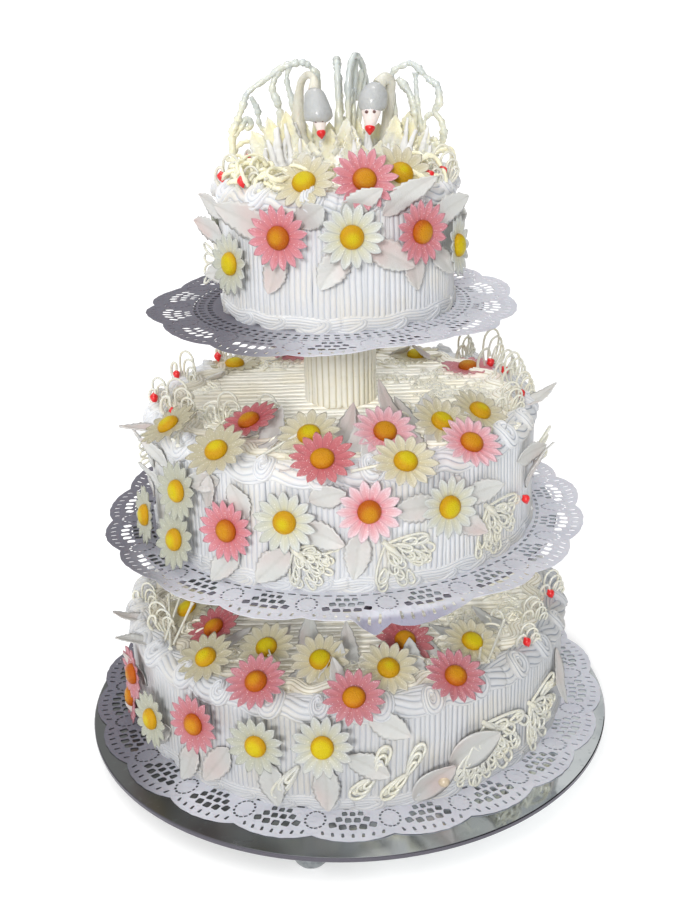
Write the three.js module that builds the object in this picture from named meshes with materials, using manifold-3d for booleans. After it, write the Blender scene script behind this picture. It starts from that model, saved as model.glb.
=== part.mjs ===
// Three-tier wedding cake on its stand: a footed mirror tray, two upper mirror plates on
// cream-covered columns, three scalloped paper doilies, three round cakes with piped rims and
// foot borders, forty-two sugar daisies, sugar leaves, lace and two swans with lace wings.
// Millimetres, +Z up, front towards -Y. Azimuths are degrees from the front, positive to the right.

import * as THREE from 'three';
import { mergeVertices } from 'three/addons/utils/BufferGeometryUtils.js';
import Module from 'manifold-3d';

const wasm = await Module();
wasm.setup();

// ---- Stand ----
const GAP = 0.3;                 // clearance between pieces that rest on each other
const TRAY_RADIUS = 250;
const TRAY_THICKNESS = 5;
const TRAY_SIDES = 56;
const TRAY_CENTRE_Y = -10;       // the tray reaches a little further forward than the cakes
const AXIS_Y = 10;               // the common axis of the three cakes
const FOOT_RADIUS = 15;
const FOOT_HEIGHT = 18;
const FOOT_SIDES = 8;
const FOOT_INSET = 24;           // foot axis to the tray's edge
const FOOT_SINK = 1;             // how far a foot reaches into the tray it is joined to
const FOOT_AZIMUTHS = [-9, 81, 171, 261];
const PLATE_THICKNESS = 5;
const PLATE_SIDES = 36;
const DOILY_THICKNESS = 0.7;
const COLUMN_RADIUS = 34;        // crest of the piped ribs
const COLUMN_RIBS = 18;
const COLUMN_RIB_DEPTH = 2;

// ---- Tiers: cake foot height, wall radius, height, and what repeats around them ----
const TIERS = {
  bottom: { base: 24.3, wall: 208, height: 100, scrolls: 28, doily: 250, scallops: 22, plate: 0 },
  middle: { base: 217, wall: 175, height: 106, scrolls: 24, doily: 225, scallops: 19, plate: 200 },
  top: { base: 417, wall: 101, height: 108, scrolls: 14, doily: 165, scallops: 14, plate: 130 },
};
const RIM_WIDTH = 26;            // rim scrolls on the top face
const RIM_RISE = 6;
const RIM_OVERHANG = 8;
const RIM_DROP = 20;             // rim scrolls down the wall
const RIM_CREST = 0.4;           // share of that drop where the scrolls stand out furthest
const SCROLL_SWELL = [0, 1, 0.75];           // along one scroll, for each mesh column around the cake
const SCROLL_FLOOR = { rise: 0.4, reach: 0.3 };  // what is left of the rim between two scrolls
const SHELL_RISE = 20;
const SHELL_REACH = 8;
const SHELL_SWELL = [0.35, 1];               // along one shell of the foot border
const SHELL_TOE = 0.6;           // share of the reach that is left where a shell meets the doily

// Doily edge: how far the free paper rises over the plate, how it waves and how far aside it lies.
const DOILY_EDGE = {
  bottom: { rise: 0, wave: 0, waves: 0, shiftX: 0 },
  middle: { rise: 1, wave: 2.5, waves: 5, shiftX: 0 },
  top: { rise: 1, wave: 3, waves: 4, shiftX: -6 },
};
const SCALLOP = [0, 1.5, 7, 1.5];  // cut into the paper at four points along one scallop
// The middle doily is creased in front: its edge drops at once and recovers over a wide arc.
const FLAP = { tier: 'middle', from: 1, lowest: 6, to: 31, drop: 24, pull: 6 };

// ---- Daisies ----
const DAISY_RADIUS = 27;
const PETALS = 14;
const PETAL_TIP = 2.2;           // height of the petal tips over the middle of the flower
const VALLEY_RADIUS = 17.8;      // where two petals part
const VALLEY_HEIGHT = 1;
const DOME_RADIUS = 10;
const DOME_BASE = 1.2;
const DOME_SHOULDER = { radius: 6.6, height: 5.2 };
const DOME_TOP = 7;
const DOME_SIDES = 8;
const PICK_SIDES = 4;            // the pick that pins each daisy to the cake
const PICK_RADIUS = 3.2;
const PICK_TOP = -1.2;
const SPIN_STEP = 7;             // each daisy is turned a little further than the last
const PETAL_COLOURS = { white: '#e1e4de', pale: '#eea5be', pink: '#e18ca5', rose: '#c85a73' };

// On the walls: kind, azimuth, height over the cake's foot, stand-off from the wall, tilt up.
const WALL_DAISIES = {
  top: [
    ['pink', -24, 80, 13, 2],
    ['white', 6, 81, 13, 2],
    ['pink', 37, 79, 13, 2],
    ['white', -54, 51, 9, 4],
    ['white', 69, 56, 9, 4],
  ],
  middle: [
    ['white', -48, 73, 13, 8],
    ['white', -67, 29, 17, 8],
    ['white', -49, 28, 17, 14],
    ['pink', -32, 49, 9, 8],
    ['white', -15, 66, 11, 10],
    ['pale', 6, 77, 14, 8],
    ['white', 27, 70, 13, 8],
  ],
  bottom: [
    ['pink', -65, 70, 11, 2],
    ['pink', -73, 28, 9, 4],
    ['white', -53, 48, 15, 6],
    ['pink', -37, 70, 15, 8],
    ['white', -21, 66, 14, 4],
    ['white', -6, 74, 17, 20],
  ],
};

// Over the top faces and rims: kind, azimuth, radius, height over the top face, tilt up, turn.
const TOP_DAISIES = {
  top: [
    ['white', -16, 90, 12, 48, -4],
    ['pink', 14, 96, 14, 33, -8],
    ['white', 36, 91, 15, 40, -14],
  ],
  middle: [
    ['white', -55, 178, 17, 62, -20],
    ['rose', -38, 127, 18, 68, -25],
    ['white', -33, 186, 14, 58, 0],
    ['white', -11, 142, 19, 62, 0],
    ['rose', -5, 184, 15, 60, 0],
    ['pink', 14, 144, 20, 58, 0],
    ['white', 15, 190, 11, 60, 0],
    ['white', 36, 142, 18, 58, 0],
    ['pink', 34, 186, 14, 58, 0],
    ['white', 54, 146, 16, 62, 0],
  ],
  bottom: [
    ['white', -70, 159, 14.5, 62, 0],
    ['rose', -53, 152, 14.5, 62, -10],
    ['white', -41, 189, 14, 62, 0],
    ['white', -29, 148, 14.5, 62, 0],
    ['white', -9, 155, 14.5, 62, 0],
    ['rose', 22, 135, 15, 60, 0],
    ['white', 11, 177, 17, 64, 0],
    ['pink', 26, 205, 14, 60, 0],
    ['white', 39, 173, 17.5, 66, 0],
    ['pink', -23, 200, 14, 58, 0],
    ['pink', 1, 213, 14, 60, 0],
  ],
};

// ---- Sugar leaves, fused to the cakes ----
const LEAF_THICKNESS = 1.6;
const LEAF_EDGE = 1;             // the edges lie between the two faces
const LEAF_WAVE = 1.2;
// Stations along a leaf: share of its length, half its width there and which way its edges wave.
const LEAF_STATIONS = [[0.28, 8.4, -1], [0.56, 10, 1], [0.82, 6, -1]];
const ROOT_DEPTH = 2;            // how deep the foot of a leaf is pressed into the cream
// On the walls: azimuth, height, direction (0 = right, 90 = up), lift of the tip, length.
const WALL_LEAVES = {
  top: [
    [-30, 84, 152, 9, 42], [-27, 70, 256, 5, 38], [4, 72, 240, 6, 40], [12, 74, -30, 7, 46],
    [38, 66, 272, 6, 32], [48, 82, 25, 8, 38], [62, 52, 225, 6, 36], [-62, 66, 150, 16, 38],
    [-66, 48, 190, 14, 34],
  ],
  middle: [
    [-62, 74, 160, 10, 36], [-37, 50, 104, 5, 36], [-36, 38, 256, 5, 36], [-18, 50, 240, 5, 42],
    [-9, 52, -34, 6, 46], [-17, 70, 40, 5, 38], [7, 60, 264, 5, 42], [13, 68, 12, 7, 38],
    [35, 66, 20, 6, 42], [32, 50, -30, 8, 40], [-84, 22, 150, 8, 30],
  ],
  bottom: [
    [-72, 56, 140, 12, 36], [-60, 36, 200, 8, 34], [-44, 50, 262, 5, 40], [-35, 46, 250, 5, 36],
    [-25, 54, 215, 6, 42], [-20, 44, 285, 5, 42], [-1, 56, -35, 6, 40], [-6, 46, 272, 5, 40],
    [24, 34, 24, 6, 62], [21, 40, 238, 22, 44],
  ],
};
// On the top faces: azimuth, radius, direction (0 = right, 90 = inwards), lift of the tip, length.
const TOP_LEAVES = {
  top: [[28, 82, 60, 26, 36], [2, 80, 40, 30, 30]],
  middle: [[-66, 160, 200, 18, 50], [-2, 140, 60, 24, 34], [26, 138, 100, 34, 40], [66, 150, 20, 22, 40]],
  bottom: [[-78, 170, 170, 20, 44], [-34, 178, 80, 10, 28], [16, 150, 200, 14, 32], [50, 170, 60, 20, 40]],
};

// ---- Sugar lace, fused to the cakes ----
const LACE_STRAND = 1.7;
const LOOP_LENGTH = 24;
const LOOP_WIDTH = 13;
const LOOP_SIDES = 5;
const LOOP_ROOT = 0.3;           // share of a loop's length that is pressed into the cream
const LOOP_NARROW = 0.35;        // share of its width at that end
const LOOP_SPREAD = 24;          // the two loops of a pair lean apart by this angle each
const LOOP_OUT = { wall: 5, rim: 2 };        // how far the round end stands off
// On the walls: azimuth and height of each pair of loops, and its lean from upright.
const WALL_LACE = {
  top: [[-84, 46, 15]],
  middle: [[-6, 20, -12], [16, 22, -12], [49, 28, -15], [150, 26, 0]],
  bottom: [[-14, 18, -30], [4, 26, 10], [11, 28, -25], [42, 28, -15], [54, 24, -20], [-150, 26, -10]],
};
// Small swans of lace that stand along the rims.
const RIM_LACE = {
  top: [-64, 67, 180],
  middle: [-77, -105, -127, 84, 107, 124, 180],
  bottom: [82, 54, 150, -150],
};

// ---- Swans and their wings, on the top cake ----
const NECK_RADIUS = 5;
// Each neck's course from the cake to the back of the head, then the head and the bill's tip.
const SWANS = {
  left: {
    body: [-24, 4], neck: [[-23, 8, 14], [-27, 12, 52], [-26, 8, 80], [-20, -4, 88], [-14, -17, 70]],
    head: [-13, -21, 62], bill: [-11, -25, 40],
  },
  right: {
    body: [42, 6], neck: [[43, 14, 14], [45, 12, 52], [44, 6, 78], [40, -4, 84], [34, -16, 72]],
    head: [33, -19, 64], bill: [30, -24, 42],
  },
};
const HEAD_SIZE = [11, 11, 14];
const BODY_SIZE = [13, 20, 20];
const BODY_HEIGHT = 14;          // of the body's middle over the cake
const BILL_RADIUS = 6;
const BILL_LENGTH = 26;
const WING_STRAND = 2.4;
const WING_RIB = 2;
// Each wing: foot of its inner edge, turn of its plane, width (negative spreads left), height.
const WINGS = {
  left_outer: { foot: [-10, 34], turn: 14, width: -78, height: 87 },
  left_inner: { foot: [4, 2], turn: 88, width: 62, height: 94 },
  right_inner: { foot: [13, 4], turn: 71, width: 62, height: 97 },
  right_outer: { foot: [57, 10], turn: -20, width: 34, height: 88 },
};
// The ropes of a wing, as shares of its width and height: its outline, three ribs and its foot.
const WING_OUTLINE = [
  [0.04, 0.03], [0, 0.5], [0.06, 0.86], [0.24, 1], [0.5, 0.97],
  [0.76, 0.84], [0.95, 0.56], [1, 0.32], [0.95, 0.11],
];
const WING_RIBS = [
  [[0.16, 0.02], [0.2, 0.5], [0.4, 0.97]],
  [[0.3, 0.02], [0.46, 0.45], [0.76, 0.82]],
  [[0.46, 0.02], [0.68, 0.26], [0.97, 0.44]],
];
const WING_BASE = [[0.02, 0.02], [0.26, 0.02], [0.5, 0.02]];

const CREAM = '#f1f2f4';
const COLUMN_CREAM = '#ebe4cf';
const PAPER = '#d6d6e4';
const MIRROR = '#9aa3a0';
const LACE = '#ebe8cd';
const SWAN_WHITE = '#d2d5d8';

const radians = THREE.MathUtils.degToRad;
const cake = new THREE.Group();

// A point at an azimuth, radius and height around the Z axis.
function around(azimuth, radius, z) {
  const a = radians(azimuth);
  return new THREE.Vector3(radius * Math.sin(a), -radius * Math.cos(a), z);
}

// A full turn of points; the callback gives each one from its azimuth and number.
function ring(count, pointAt) {
  return Array.from({ length: count }, (_, k) => pointAt((k * 360) / count, k));
}

// Closed surface through rings that run counterclockwise seen from the first one; the first and
// last rings are single points. Rings may have different numbers of points.
function loft(rings) {
  const positions = rings.flat().flatMap((p) => [p.x, p.y, p.z]);
  const index = [];
  let start = 0;
  for (let k = 0; k + 1 < rings.length; k += 1) {
    const countA = rings[k].length;
    const countB = rings[k + 1].length;
    const startB = start + countA;
    const stepsA = countA > 1 ? countA : 0;
    const stepsB = countB > 1 ? countB : 0;
    let a = 0;
    let b = 0;
    while (a < stepsA || b < stepsB) {
      const here = start + (a % countA);
      const there = startB + (b % countB);
      const moveB = b < stepsB && (a >= stepsA || (b + 0.5) / stepsB <= (a + 0.5) / stepsA);
      if (moveB) {
        b += 1;
        index.push(here, there, startB + (b % countB));
      } else {
        a += 1;
        index.push(here, there, start + (a % countA));
      }
    }
    start = startB;
  }
  const geometry = new THREE.BufferGeometry();
  geometry.setAttribute('position', new THREE.Float32BufferAttribute(positions, 3));
  geometry.setIndex(index);
  return geometry;
}

function solidOf(geometry) {
  const bare = geometry.clone();
  bare.deleteAttribute('normal');
  bare.deleteAttribute('uv');
  const merged = mergeVertices(bare, 1e-3);
  return new wasm.Manifold(new wasm.Mesh({
    numProp: 3,
    vertProperties: Float32Array.from(merged.attributes.position.array),
    triVerts: Uint32Array.from(merged.index.array),
  }));
}

function geometryOf(solid) {
  const mesh = solid.getMesh();
  const geometry = new THREE.BufferGeometry();
  geometry.setAttribute('position', new THREE.Float32BufferAttribute(mesh.vertProperties, 3));
  geometry.setIndex(Array.from(mesh.triVerts));
  return geometry;
}

function fuse(geometries) {
  return geometryOf(geometries.map(solidOf).reduce((whole, piece) => whole.add(piece)));
}

function addPiece(parent, name, geometry, colour, roughness, metalness = 0) {
  const material = new THREE.MeshStandardMaterial({ color: colour, roughness, metalness });
  const mesh = new THREE.Mesh(geometry, material);
  mesh.name = name;
  parent.add(mesh);
  return mesh;
}

// ---- Stand pieces ----
function disc(radius, bottom, top, segments) {
  const profile = [[0, bottom], [radius, bottom], [radius, top], [0, top]];
  const geometry = new THREE.LatheGeometry(profile.map(([r, z]) => new THREE.Vector2(r, z)), segments);
  return geometry.rotateX(Math.PI / 2);
}

function tray() {
  const top = FOOT_HEIGHT + TRAY_THICKNESS;
  const pieces = [disc(TRAY_RADIUS, FOOT_HEIGHT, top, TRAY_SIDES)];
  for (const azimuth of FOOT_AZIMUTHS) {
    const centre = around(azimuth, TRAY_RADIUS - FOOT_INSET, 0);
    const foot = disc(FOOT_RADIUS, 0, FOOT_HEIGHT + FOOT_SINK, FOOT_SIDES);
    pieces.push(foot.translate(centre.x, centre.y, 0));
  }
  return fuse(pieces);
}

function section(count, radiusAt) {
  const outline = ring(count, (azimuth, k) => around(azimuth, radiusAt(k), 0));
  return new THREE.Shape(outline.map((p) => new THREE.Vector2(p.x, p.y)));
}

function column(bottom, top) {
  const ribbed = section(COLUMN_RIBS * 2, (k) => COLUMN_RADIUS - (k % 2) * COLUMN_RIB_DEPTH);
  const geometry = new THREE.ExtrudeGeometry(ribbed, { depth: top - bottom, bevelEnabled: false });
  return geometry.translate(0, 0, bottom);
}

// Paper doily: flat under the cake, scalloped and tapering to its edge, waving where it is free.
function doily(name) {
  const tier = TIERS[name];
  const edge = DOILY_EDGE[name];
  const flat = ((tier.plate || tier.wall) + SHELL_REACH) / Math.cos(Math.PI / tier.scallops);
  const hang = (azimuth) => {
    const wave = edge.wave * Math.sin(radians(azimuth) * edge.waves);
    const side = azimuth < FLAP.lowest ? FLAP.from : FLAP.to;
    const fold = FLAP.tier === name ? Math.max(0, (azimuth - side) / (FLAP.lowest - side)) : 0;
    return { z: wave + edge.rise - FLAP.drop * fold, pull: FLAP.pull * fold };
  };
  const inner = (z) => ring(tier.scallops, (azimuth) => around(azimuth, flat, z));
  const rim = ring(tier.scallops * SCALLOP.length, (azimuth, k) => {
    const { z, pull } = hang(azimuth);
    return around(azimuth, tier.doily - pull - SCALLOP[k % SCALLOP.length], z + DOILY_THICKNESS / 2);
  });
  return loft([
    [new THREE.Vector3(0, 0, DOILY_THICKNESS)], inner(DOILY_THICKNESS), rim, inner(0), [new THREE.Vector3()],
  ]);
}

// ---- Cakes ----
// One closed skin: top face, rim of scrolls, wall and foot border of shells.
function cakeBody(tier) {
  const { wall, height } = tier;
  const count = tier.scrolls * SCROLL_SWELL.length;
  const row = (radiusAt, heightAt) => ring(count, (azimuth, k) => around(azimuth, radiusAt(k), heightAt(k)));
  const scroll = (k, floor) => floor + (1 - floor) * SCROLL_SWELL[k % SCROLL_SWELL.length];
  const crest = (k) => height + RIM_RISE * scroll(k, SCROLL_FLOOR.rise);
  const overhang = (k) => wall + RIM_OVERHANG * scroll(k, SCROLL_FLOOR.reach);
  const shell = (k) => SHELL_REACH * SHELL_SWELL[k % SHELL_SWELL.length];
  return loft([
    [new THREE.Vector3(0, 0, height)],
    row(() => wall - RIM_WIDTH, () => height),
    row(() => wall - RIM_WIDTH / 2, crest),
    row(overhang, () => height - RIM_DROP * RIM_CREST),
    row(() => wall, () => height - RIM_DROP),
    row(() => wall, () => SHELL_RISE),
    row((k) => wall + shell(k), () => SHELL_RISE / 2),
    row((k) => wall + shell(k) * SHELL_TOE, () => 0),
    [new THREE.Vector3()],
  ]);
}

// Places for thin decorations: x across, y up the wall (or inwards), off away from the surface.
function onWall(tier, azimuth, height, direction) {
  const turn = radians(direction);
  return (x, y, off) => {
    const across = x * Math.cos(turn) - y * Math.sin(turn);
    const up = x * Math.sin(turn) + y * Math.cos(turn);
    return around(azimuth + THREE.MathUtils.radToDeg(across / tier.wall), tier.wall + off, height + up);
  };
}

function onTop(tier, azimuth, radius, direction) {
  const turn = radians(direction);
  return (x, y, off) => {
    const across = x * Math.cos(turn) - y * Math.sin(turn);
    const inwards = x * Math.sin(turn) + y * Math.cos(turn);
    const spoke = new THREE.Vector3(across, inwards - radius, tier.height + off);
    return spoke.applyAxisAngle(new THREE.Vector3(0, 0, 1), radians(azimuth));
  };
}

// Leaf: root in the cake, both faces split alike, thickest along the rib, edges waving.
function leaf(place, length, lift) {
  const rise = (s) => lift * s * s + LEAF_EDGE;
  const upper = [place(0, 0, -ROOT_DEPTH)];
  const lower = [upper[0]];
  for (const [s, half, way] of LEAF_STATIONS) {
    const wave = way * LEAF_WAVE * s;
    const left = place(s * length, half, rise(s) + LEAF_EDGE + wave);
    const right = place(s * length, -half, rise(s) + LEAF_EDGE - wave);
    upper.push(left, place(s * length, 0, rise(s) + LEAF_THICKNESS), right);
    lower.push(left, place(s * length, 0, rise(s)), right);
  }
  const tip = place(length, 0, rise(1) + LEAF_EDGE);
  upper.push(tip);
  lower.push(tip);
  const last = upper.length - 1;
  const faces = [[0, 2, 1], [0, 3, 2]];
  for (let at = 1; at < last - 3; at += 3) {
    faces.push([at, at + 1, at + 3], [at + 1, at + 4, at + 3]);
    faces.push([at + 1, at + 2, at + 5], [at + 1, at + 5, at + 4]);
  }
  faces.push([last - 3, last - 2, last], [last - 2, last - 1, last]);
  const points = [...upper, ...lower];
  const under = upper.length;
  const index = faces.flatMap(([a, b, c]) => [a, b, c, c + under, b + under, a + under]);
  const positions = points.flatMap((p) => [p.x, p.y, p.z]);
  const geometry = new THREE.BufferGeometry();
  geometry.setAttribute('position', new THREE.Float32BufferAttribute(positions, 3));
  geometry.setIndex(index);
  return geometry;
}

// Teardrop loop of sugar lace, its narrow end in the cake.
function laceLoop(place, lean, out) {
  const loop = new THREE.TorusGeometry(LOOP_LENGTH / 2, LACE_STRAND, 3, LOOP_SIDES);
  const turn = radians(lean);
  const position = loop.attributes.position;
  for (let k = 0; k < position.count; k += 1) {
    const share = 0.5 + position.getY(k) / LOOP_LENGTH;
    const off = share < LOOP_ROOT ? -LACE_STRAND : LACE_STRAND + 1 + out * share;
    const width = LOOP_WIDTH * (LOOP_NARROW + (1 - LOOP_NARROW) * share);
    const x = (position.getX(k) * width) / LOOP_LENGTH;
    const y = position.getY(k) + LOOP_LENGTH / 2;
    const p = place(
      x * Math.cos(turn) + y * Math.sin(turn),
      y * Math.cos(turn) - x * Math.sin(turn),
      position.getZ(k) + off,
    );
    position.setXYZ(k, p.x, p.y, p.z);
  }
  return loop;
}

function onRim(tier, azimuth) {
  const radius = tier.wall - RIM_WIDTH / 2;
  const across = around(azimuth + 90, 1, 0);
  return (x, y, off) => around(azimuth, radius + off, tier.height + y).addScaledVector(across, x);
}

function decoratedCake(name) {
  const tier = TIERS[name];
  const pieces = [cakeBody(tier)];
  for (const [azimuth, height, direction, lift, length] of WALL_LEAVES[name]) {
    pieces.push(leaf(onWall(tier, azimuth, height, direction), length, lift));
  }
  for (const [azimuth, radius, direction, lift, length] of TOP_LEAVES[name]) {
    pieces.push(leaf(onTop(tier, azimuth, radius, direction), length, lift));
  }
  for (const [azimuth, height, lean] of WALL_LACE[name]) {
    const place = onWall(tier, azimuth, height, 0);
    pieces.push(laceLoop(place, lean - LOOP_SPREAD, LOOP_OUT.wall));
    pieces.push(laceLoop(place, lean + LOOP_SPREAD, LOOP_OUT.wall));
  }
  for (const azimuth of RIM_LACE[name]) {
    pieces.push(laceLoop(onRim(tier, azimuth), 0, LOOP_OUT.rim));
  }
  return fuse(pieces);
}

// ---- Daisies ----
// Built facing +Z around its own centre; the pick runs straight back from it to the cake.
function daisy(pick) {
  const flatRing = (count, radius, z) => ring(count, (azimuth) => around(azimuth, radius, z));
  const valley = (azimuth) => around(azimuth, VALLEY_RADIUS, VALLEY_HEIGHT);
  const tip = (azimuth) => around(azimuth, DAISY_RADIUS, PETAL_TIP);
  return loft([
    [new THREE.Vector3(0, 0, DOME_TOP)],
    flatRing(DOME_SIDES / 2, DOME_SHOULDER.radius, DOME_SHOULDER.height),
    flatRing(DOME_SIDES, DOME_RADIUS, DOME_BASE),
    ring(PETALS * 2, (azimuth, k) => (k % 2 ? valley(azimuth) : tip(azimuth))),
    flatRing(PICK_SIDES, PICK_RADIUS, PICK_TOP),
    [new THREE.Vector3(0, 0, -pick)],
  ]);
}

// A daisy on a spoke of its tier, looking outwards, tilted up and turned; its pick stops at the cake.
function addDaisy(cakeMesh, name, kind, centre, tilt, turn, spin) {
  const spoke = new THREE.Group();
  spoke.rotation.z = radians(centre.azimuth);
  const mount = new THREE.Group();
  mount.position.set(0, -centre.radius, centre.height);
  mount.rotation.z = radians(turn);
  spoke.add(mount);
  cakeMesh.parent.add(spoke);
  cakeMesh.parent.updateMatrixWorld(true);
  const backwards = new THREE.Vector3(0, Math.cos(radians(tilt)), -Math.sin(radians(tilt)));
  const start = mount.getWorldPosition(new THREE.Vector3());
  const caster = new THREE.Raycaster(start, backwards.transformDirection(mount.matrixWorld));
  const [hit] = caster.intersectObject(cakeMesh);
  const flower = addPiece(mount, name, daisy(hit.distance - GAP), PETAL_COLOURS[kind], 0.45);
  flower.rotation.set(Math.PI / 2 - radians(tilt), 0, radians(spin));
}

function addDaisies(cakeMesh, name) {
  const tier = TIERS[name];
  let number = 0;
  for (const [kind, azimuth, radius, height, tilt, turn] of TOP_DAISIES[name]) {
    number += 1;
    const centre = { azimuth, radius, height: tier.height + height };
    addDaisy(cakeMesh, `daisy_${name}_${number}_${kind}`, kind, centre, tilt, turn, number * SPIN_STEP);
  }
  for (const [kind, azimuth, height, standOff, tilt] of WALL_DAISIES[name]) {
    number += 1;
    const centre = { azimuth, radius: tier.wall + standOff, height };
    addDaisy(cakeMesh, `daisy_${name}_${number}_${kind}`, kind, centre, tilt, 0, number * SPIN_STEP);
  }
}

// ---- Swans and wings ----
function rope(points, radius, steps, sides) {
  const extrudePath = new THREE.CatmullRomCurve3(points.map((p) => new THREE.Vector3(...p)));
  return new THREE.ExtrudeGeometry(section(sides, () => radius), { steps, extrudePath, bevelEnabled: false });
}

// Cone with its point at the bill's tip, widening back into the head.
function swanBill(head, tip) {
  const geometry = new THREE.ConeGeometry(BILL_RADIUS, BILL_LENGTH, 5).translate(0, -BILL_LENGTH / 2, 0);
  const direction = new THREE.Vector3(...tip).sub(new THREE.Vector3(...head)).normalize();
  geometry.applyQuaternion(new THREE.Quaternion().setFromUnitVectors(new THREE.Vector3(0, 1, 0), direction));
  return geometry.translate(...tip);
}

function swan({ body, neck, head, bill }) {
  const ball = (size) => new THREE.SphereGeometry(1, 7, 5).scale(...size);
  const solid = solidOf(fuse([
    rope(neck, NECK_RADIUS, 8, 5),
    ball(HEAD_SIZE).translate(...head),
    swanBill(head, bill),
    ball(BODY_SIZE).translate(body[0], body[1], BODY_HEIGHT),
  ]));
  return geometryOf(solid.trimByPlane([0, 0, 1], GAP));
}

function wing({ width, height }) {
  const at = ([u, v]) => [u * width, 0, v * height + GAP + WING_STRAND];
  const ribs = WING_RIBS.map((course) => rope(course.map(at), WING_RIB, 3, 3));
  const outline = rope(WING_OUTLINE.map(at), WING_STRAND, 10, 4);
  return fuse([outline, rope(WING_BASE.map(at), WING_RIB, 1, 4), ...ribs]);
}

// ---- Assembly ----
function buildStand() {
  const trayMesh = addPiece(cake, 'tray', tray(), MIRROR, 0.12, 1);
  trayMesh.position.set(0, TRAY_CENTRE_Y, 0);
  const axis = new THREE.Group();
  axis.position.set(0, AXIS_Y, 0);
  cake.add(axis);
  for (const [name, under] of [['middle', 'bottom'], ['top', 'middle']]) {
    const tier = TIERS[name];
    const plateTop = tier.base - GAP * 2 - DOILY_THICKNESS;
    const plateBottom = plateTop - PLATE_THICKNESS;
    addPiece(axis, `plate_${name}`, disc(tier.plate, plateBottom, plateTop, PLATE_SIDES), MIRROR, 0.15, 1);
    const below = TIERS[under];
    const support = column(below.base + below.height + GAP, plateBottom - GAP);
    addPiece(axis, `column_${name}`, support, COLUMN_CREAM, 0.6);
  }
}

function buildTier(name) {
  const tier = TIERS[name];
  const group = new THREE.Group();
  group.position.set(0, AXIS_Y, tier.base);
  cake.add(group);
  const paper = addPiece(group, `doily_${name}`, doily(name), PAPER, 0.8);
  paper.position.set(DOILY_EDGE[name].shiftX, 0, -GAP - DOILY_THICKNESS);
  const cakeMesh = addPiece(group, `cake_${name}`, decoratedCake(name), CREAM, 0.55);
  addDaisies(cakeMesh, name);
}

function buildSwans() {
  const deck = new THREE.Group();
  deck.position.set(0, AXIS_Y, TIERS.top.base + TIERS.top.height);
  cake.add(deck);
  for (const [side, shape] of Object.entries(SWANS)) {
    addPiece(deck, `swan_${side}`, swan(shape), SWAN_WHITE, 0.4);
  }
  for (const [side, shape] of Object.entries(WINGS)) {
    const mesh = addPiece(deck, `wing_${side}`, wing(shape), LACE, 0.3);
    mesh.position.set(shape.foot[0], shape.foot[1], 0);
    mesh.rotation.z = radians(shape.turn);
  }
}

buildStand();
for (const name of Object.keys(TIERS)) {
  buildTier(name);
}
buildSwans();

export default cake;
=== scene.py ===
"""A tiered wedding cake on its stand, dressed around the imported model.

Piped cream, paper doilies, sugar daisies, leaves, lace and swans are grown by Geometry Nodes
trees in millimetres, set in their places and turned into plain meshes in metres.
"""

import math

import bmesh
import bpy
import numpy as np
from mathutils import Matrix, Vector


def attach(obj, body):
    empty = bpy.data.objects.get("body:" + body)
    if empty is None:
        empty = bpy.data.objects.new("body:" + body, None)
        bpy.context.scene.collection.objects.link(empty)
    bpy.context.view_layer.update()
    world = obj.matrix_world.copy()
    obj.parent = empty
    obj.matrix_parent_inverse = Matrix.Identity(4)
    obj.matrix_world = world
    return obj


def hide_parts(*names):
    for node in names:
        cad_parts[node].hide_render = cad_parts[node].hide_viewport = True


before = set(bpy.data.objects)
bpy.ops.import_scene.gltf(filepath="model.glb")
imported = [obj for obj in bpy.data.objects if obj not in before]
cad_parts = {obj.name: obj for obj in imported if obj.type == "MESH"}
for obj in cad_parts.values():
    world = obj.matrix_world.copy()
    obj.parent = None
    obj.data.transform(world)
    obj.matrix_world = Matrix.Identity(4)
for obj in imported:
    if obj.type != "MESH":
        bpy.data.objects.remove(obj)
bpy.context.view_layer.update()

MM = 0.001
SMALLEST = 0.02                  # points closer than this are one point

# ---- Sizes that the solids have too, in millimetres ----
AXIS_Y = 10                      # the common axis of the three cakes
TRAY_CENTRE_Y = -10
TRAY_RADIUS = 250
TRAY_BOTTOM, TRAY_TOP = 18, 23
FOOT_RING = 226                  # from the tray's centre to the middle of a foot
FOOT_AZIMUTHS = (-9, 81, 171, 261)
PLATE_THICKNESS = 5
PLATE_TOPS = {"middle": 215.7, "top": 415.7}
TIERS = {
    "bottom": dict(base=24.3, wall=208, height=100, scrolls=28, doily=250, scallops=22, plate=0),
    "middle": dict(base=217, wall=175, height=106, scrolls=24, doily=225, scallops=19, plate=200),
    "top": dict(base=417, wall=101, height=108, scrolls=14, doily=165, scallops=14, plate=130),
}
COLUMNS = {"middle": (124.6, 210.4), "top": (323.3, 410.4)}      # foot and head
DOILY_THICKNESS = 0.7
SHELL_REACH = 8                  # how far the foot shells stand off a wall
DOILY_EDGE = {                   # rise, height of the waves, waves around, shift aside
    "bottom": (0, 0, 0, 0),
    "middle": (1, 2.5, 5, 0),
    "top": (1, 3, 4, -6),
}
# The middle doily is creased in front: from, lowest and to in degrees, then how deep.
FLAP = dict(start=1, lowest=6, end=31, drop=24, pull=6)
DAISY_RADIUS = 27
PETAL_TIP = 2.2


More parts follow.
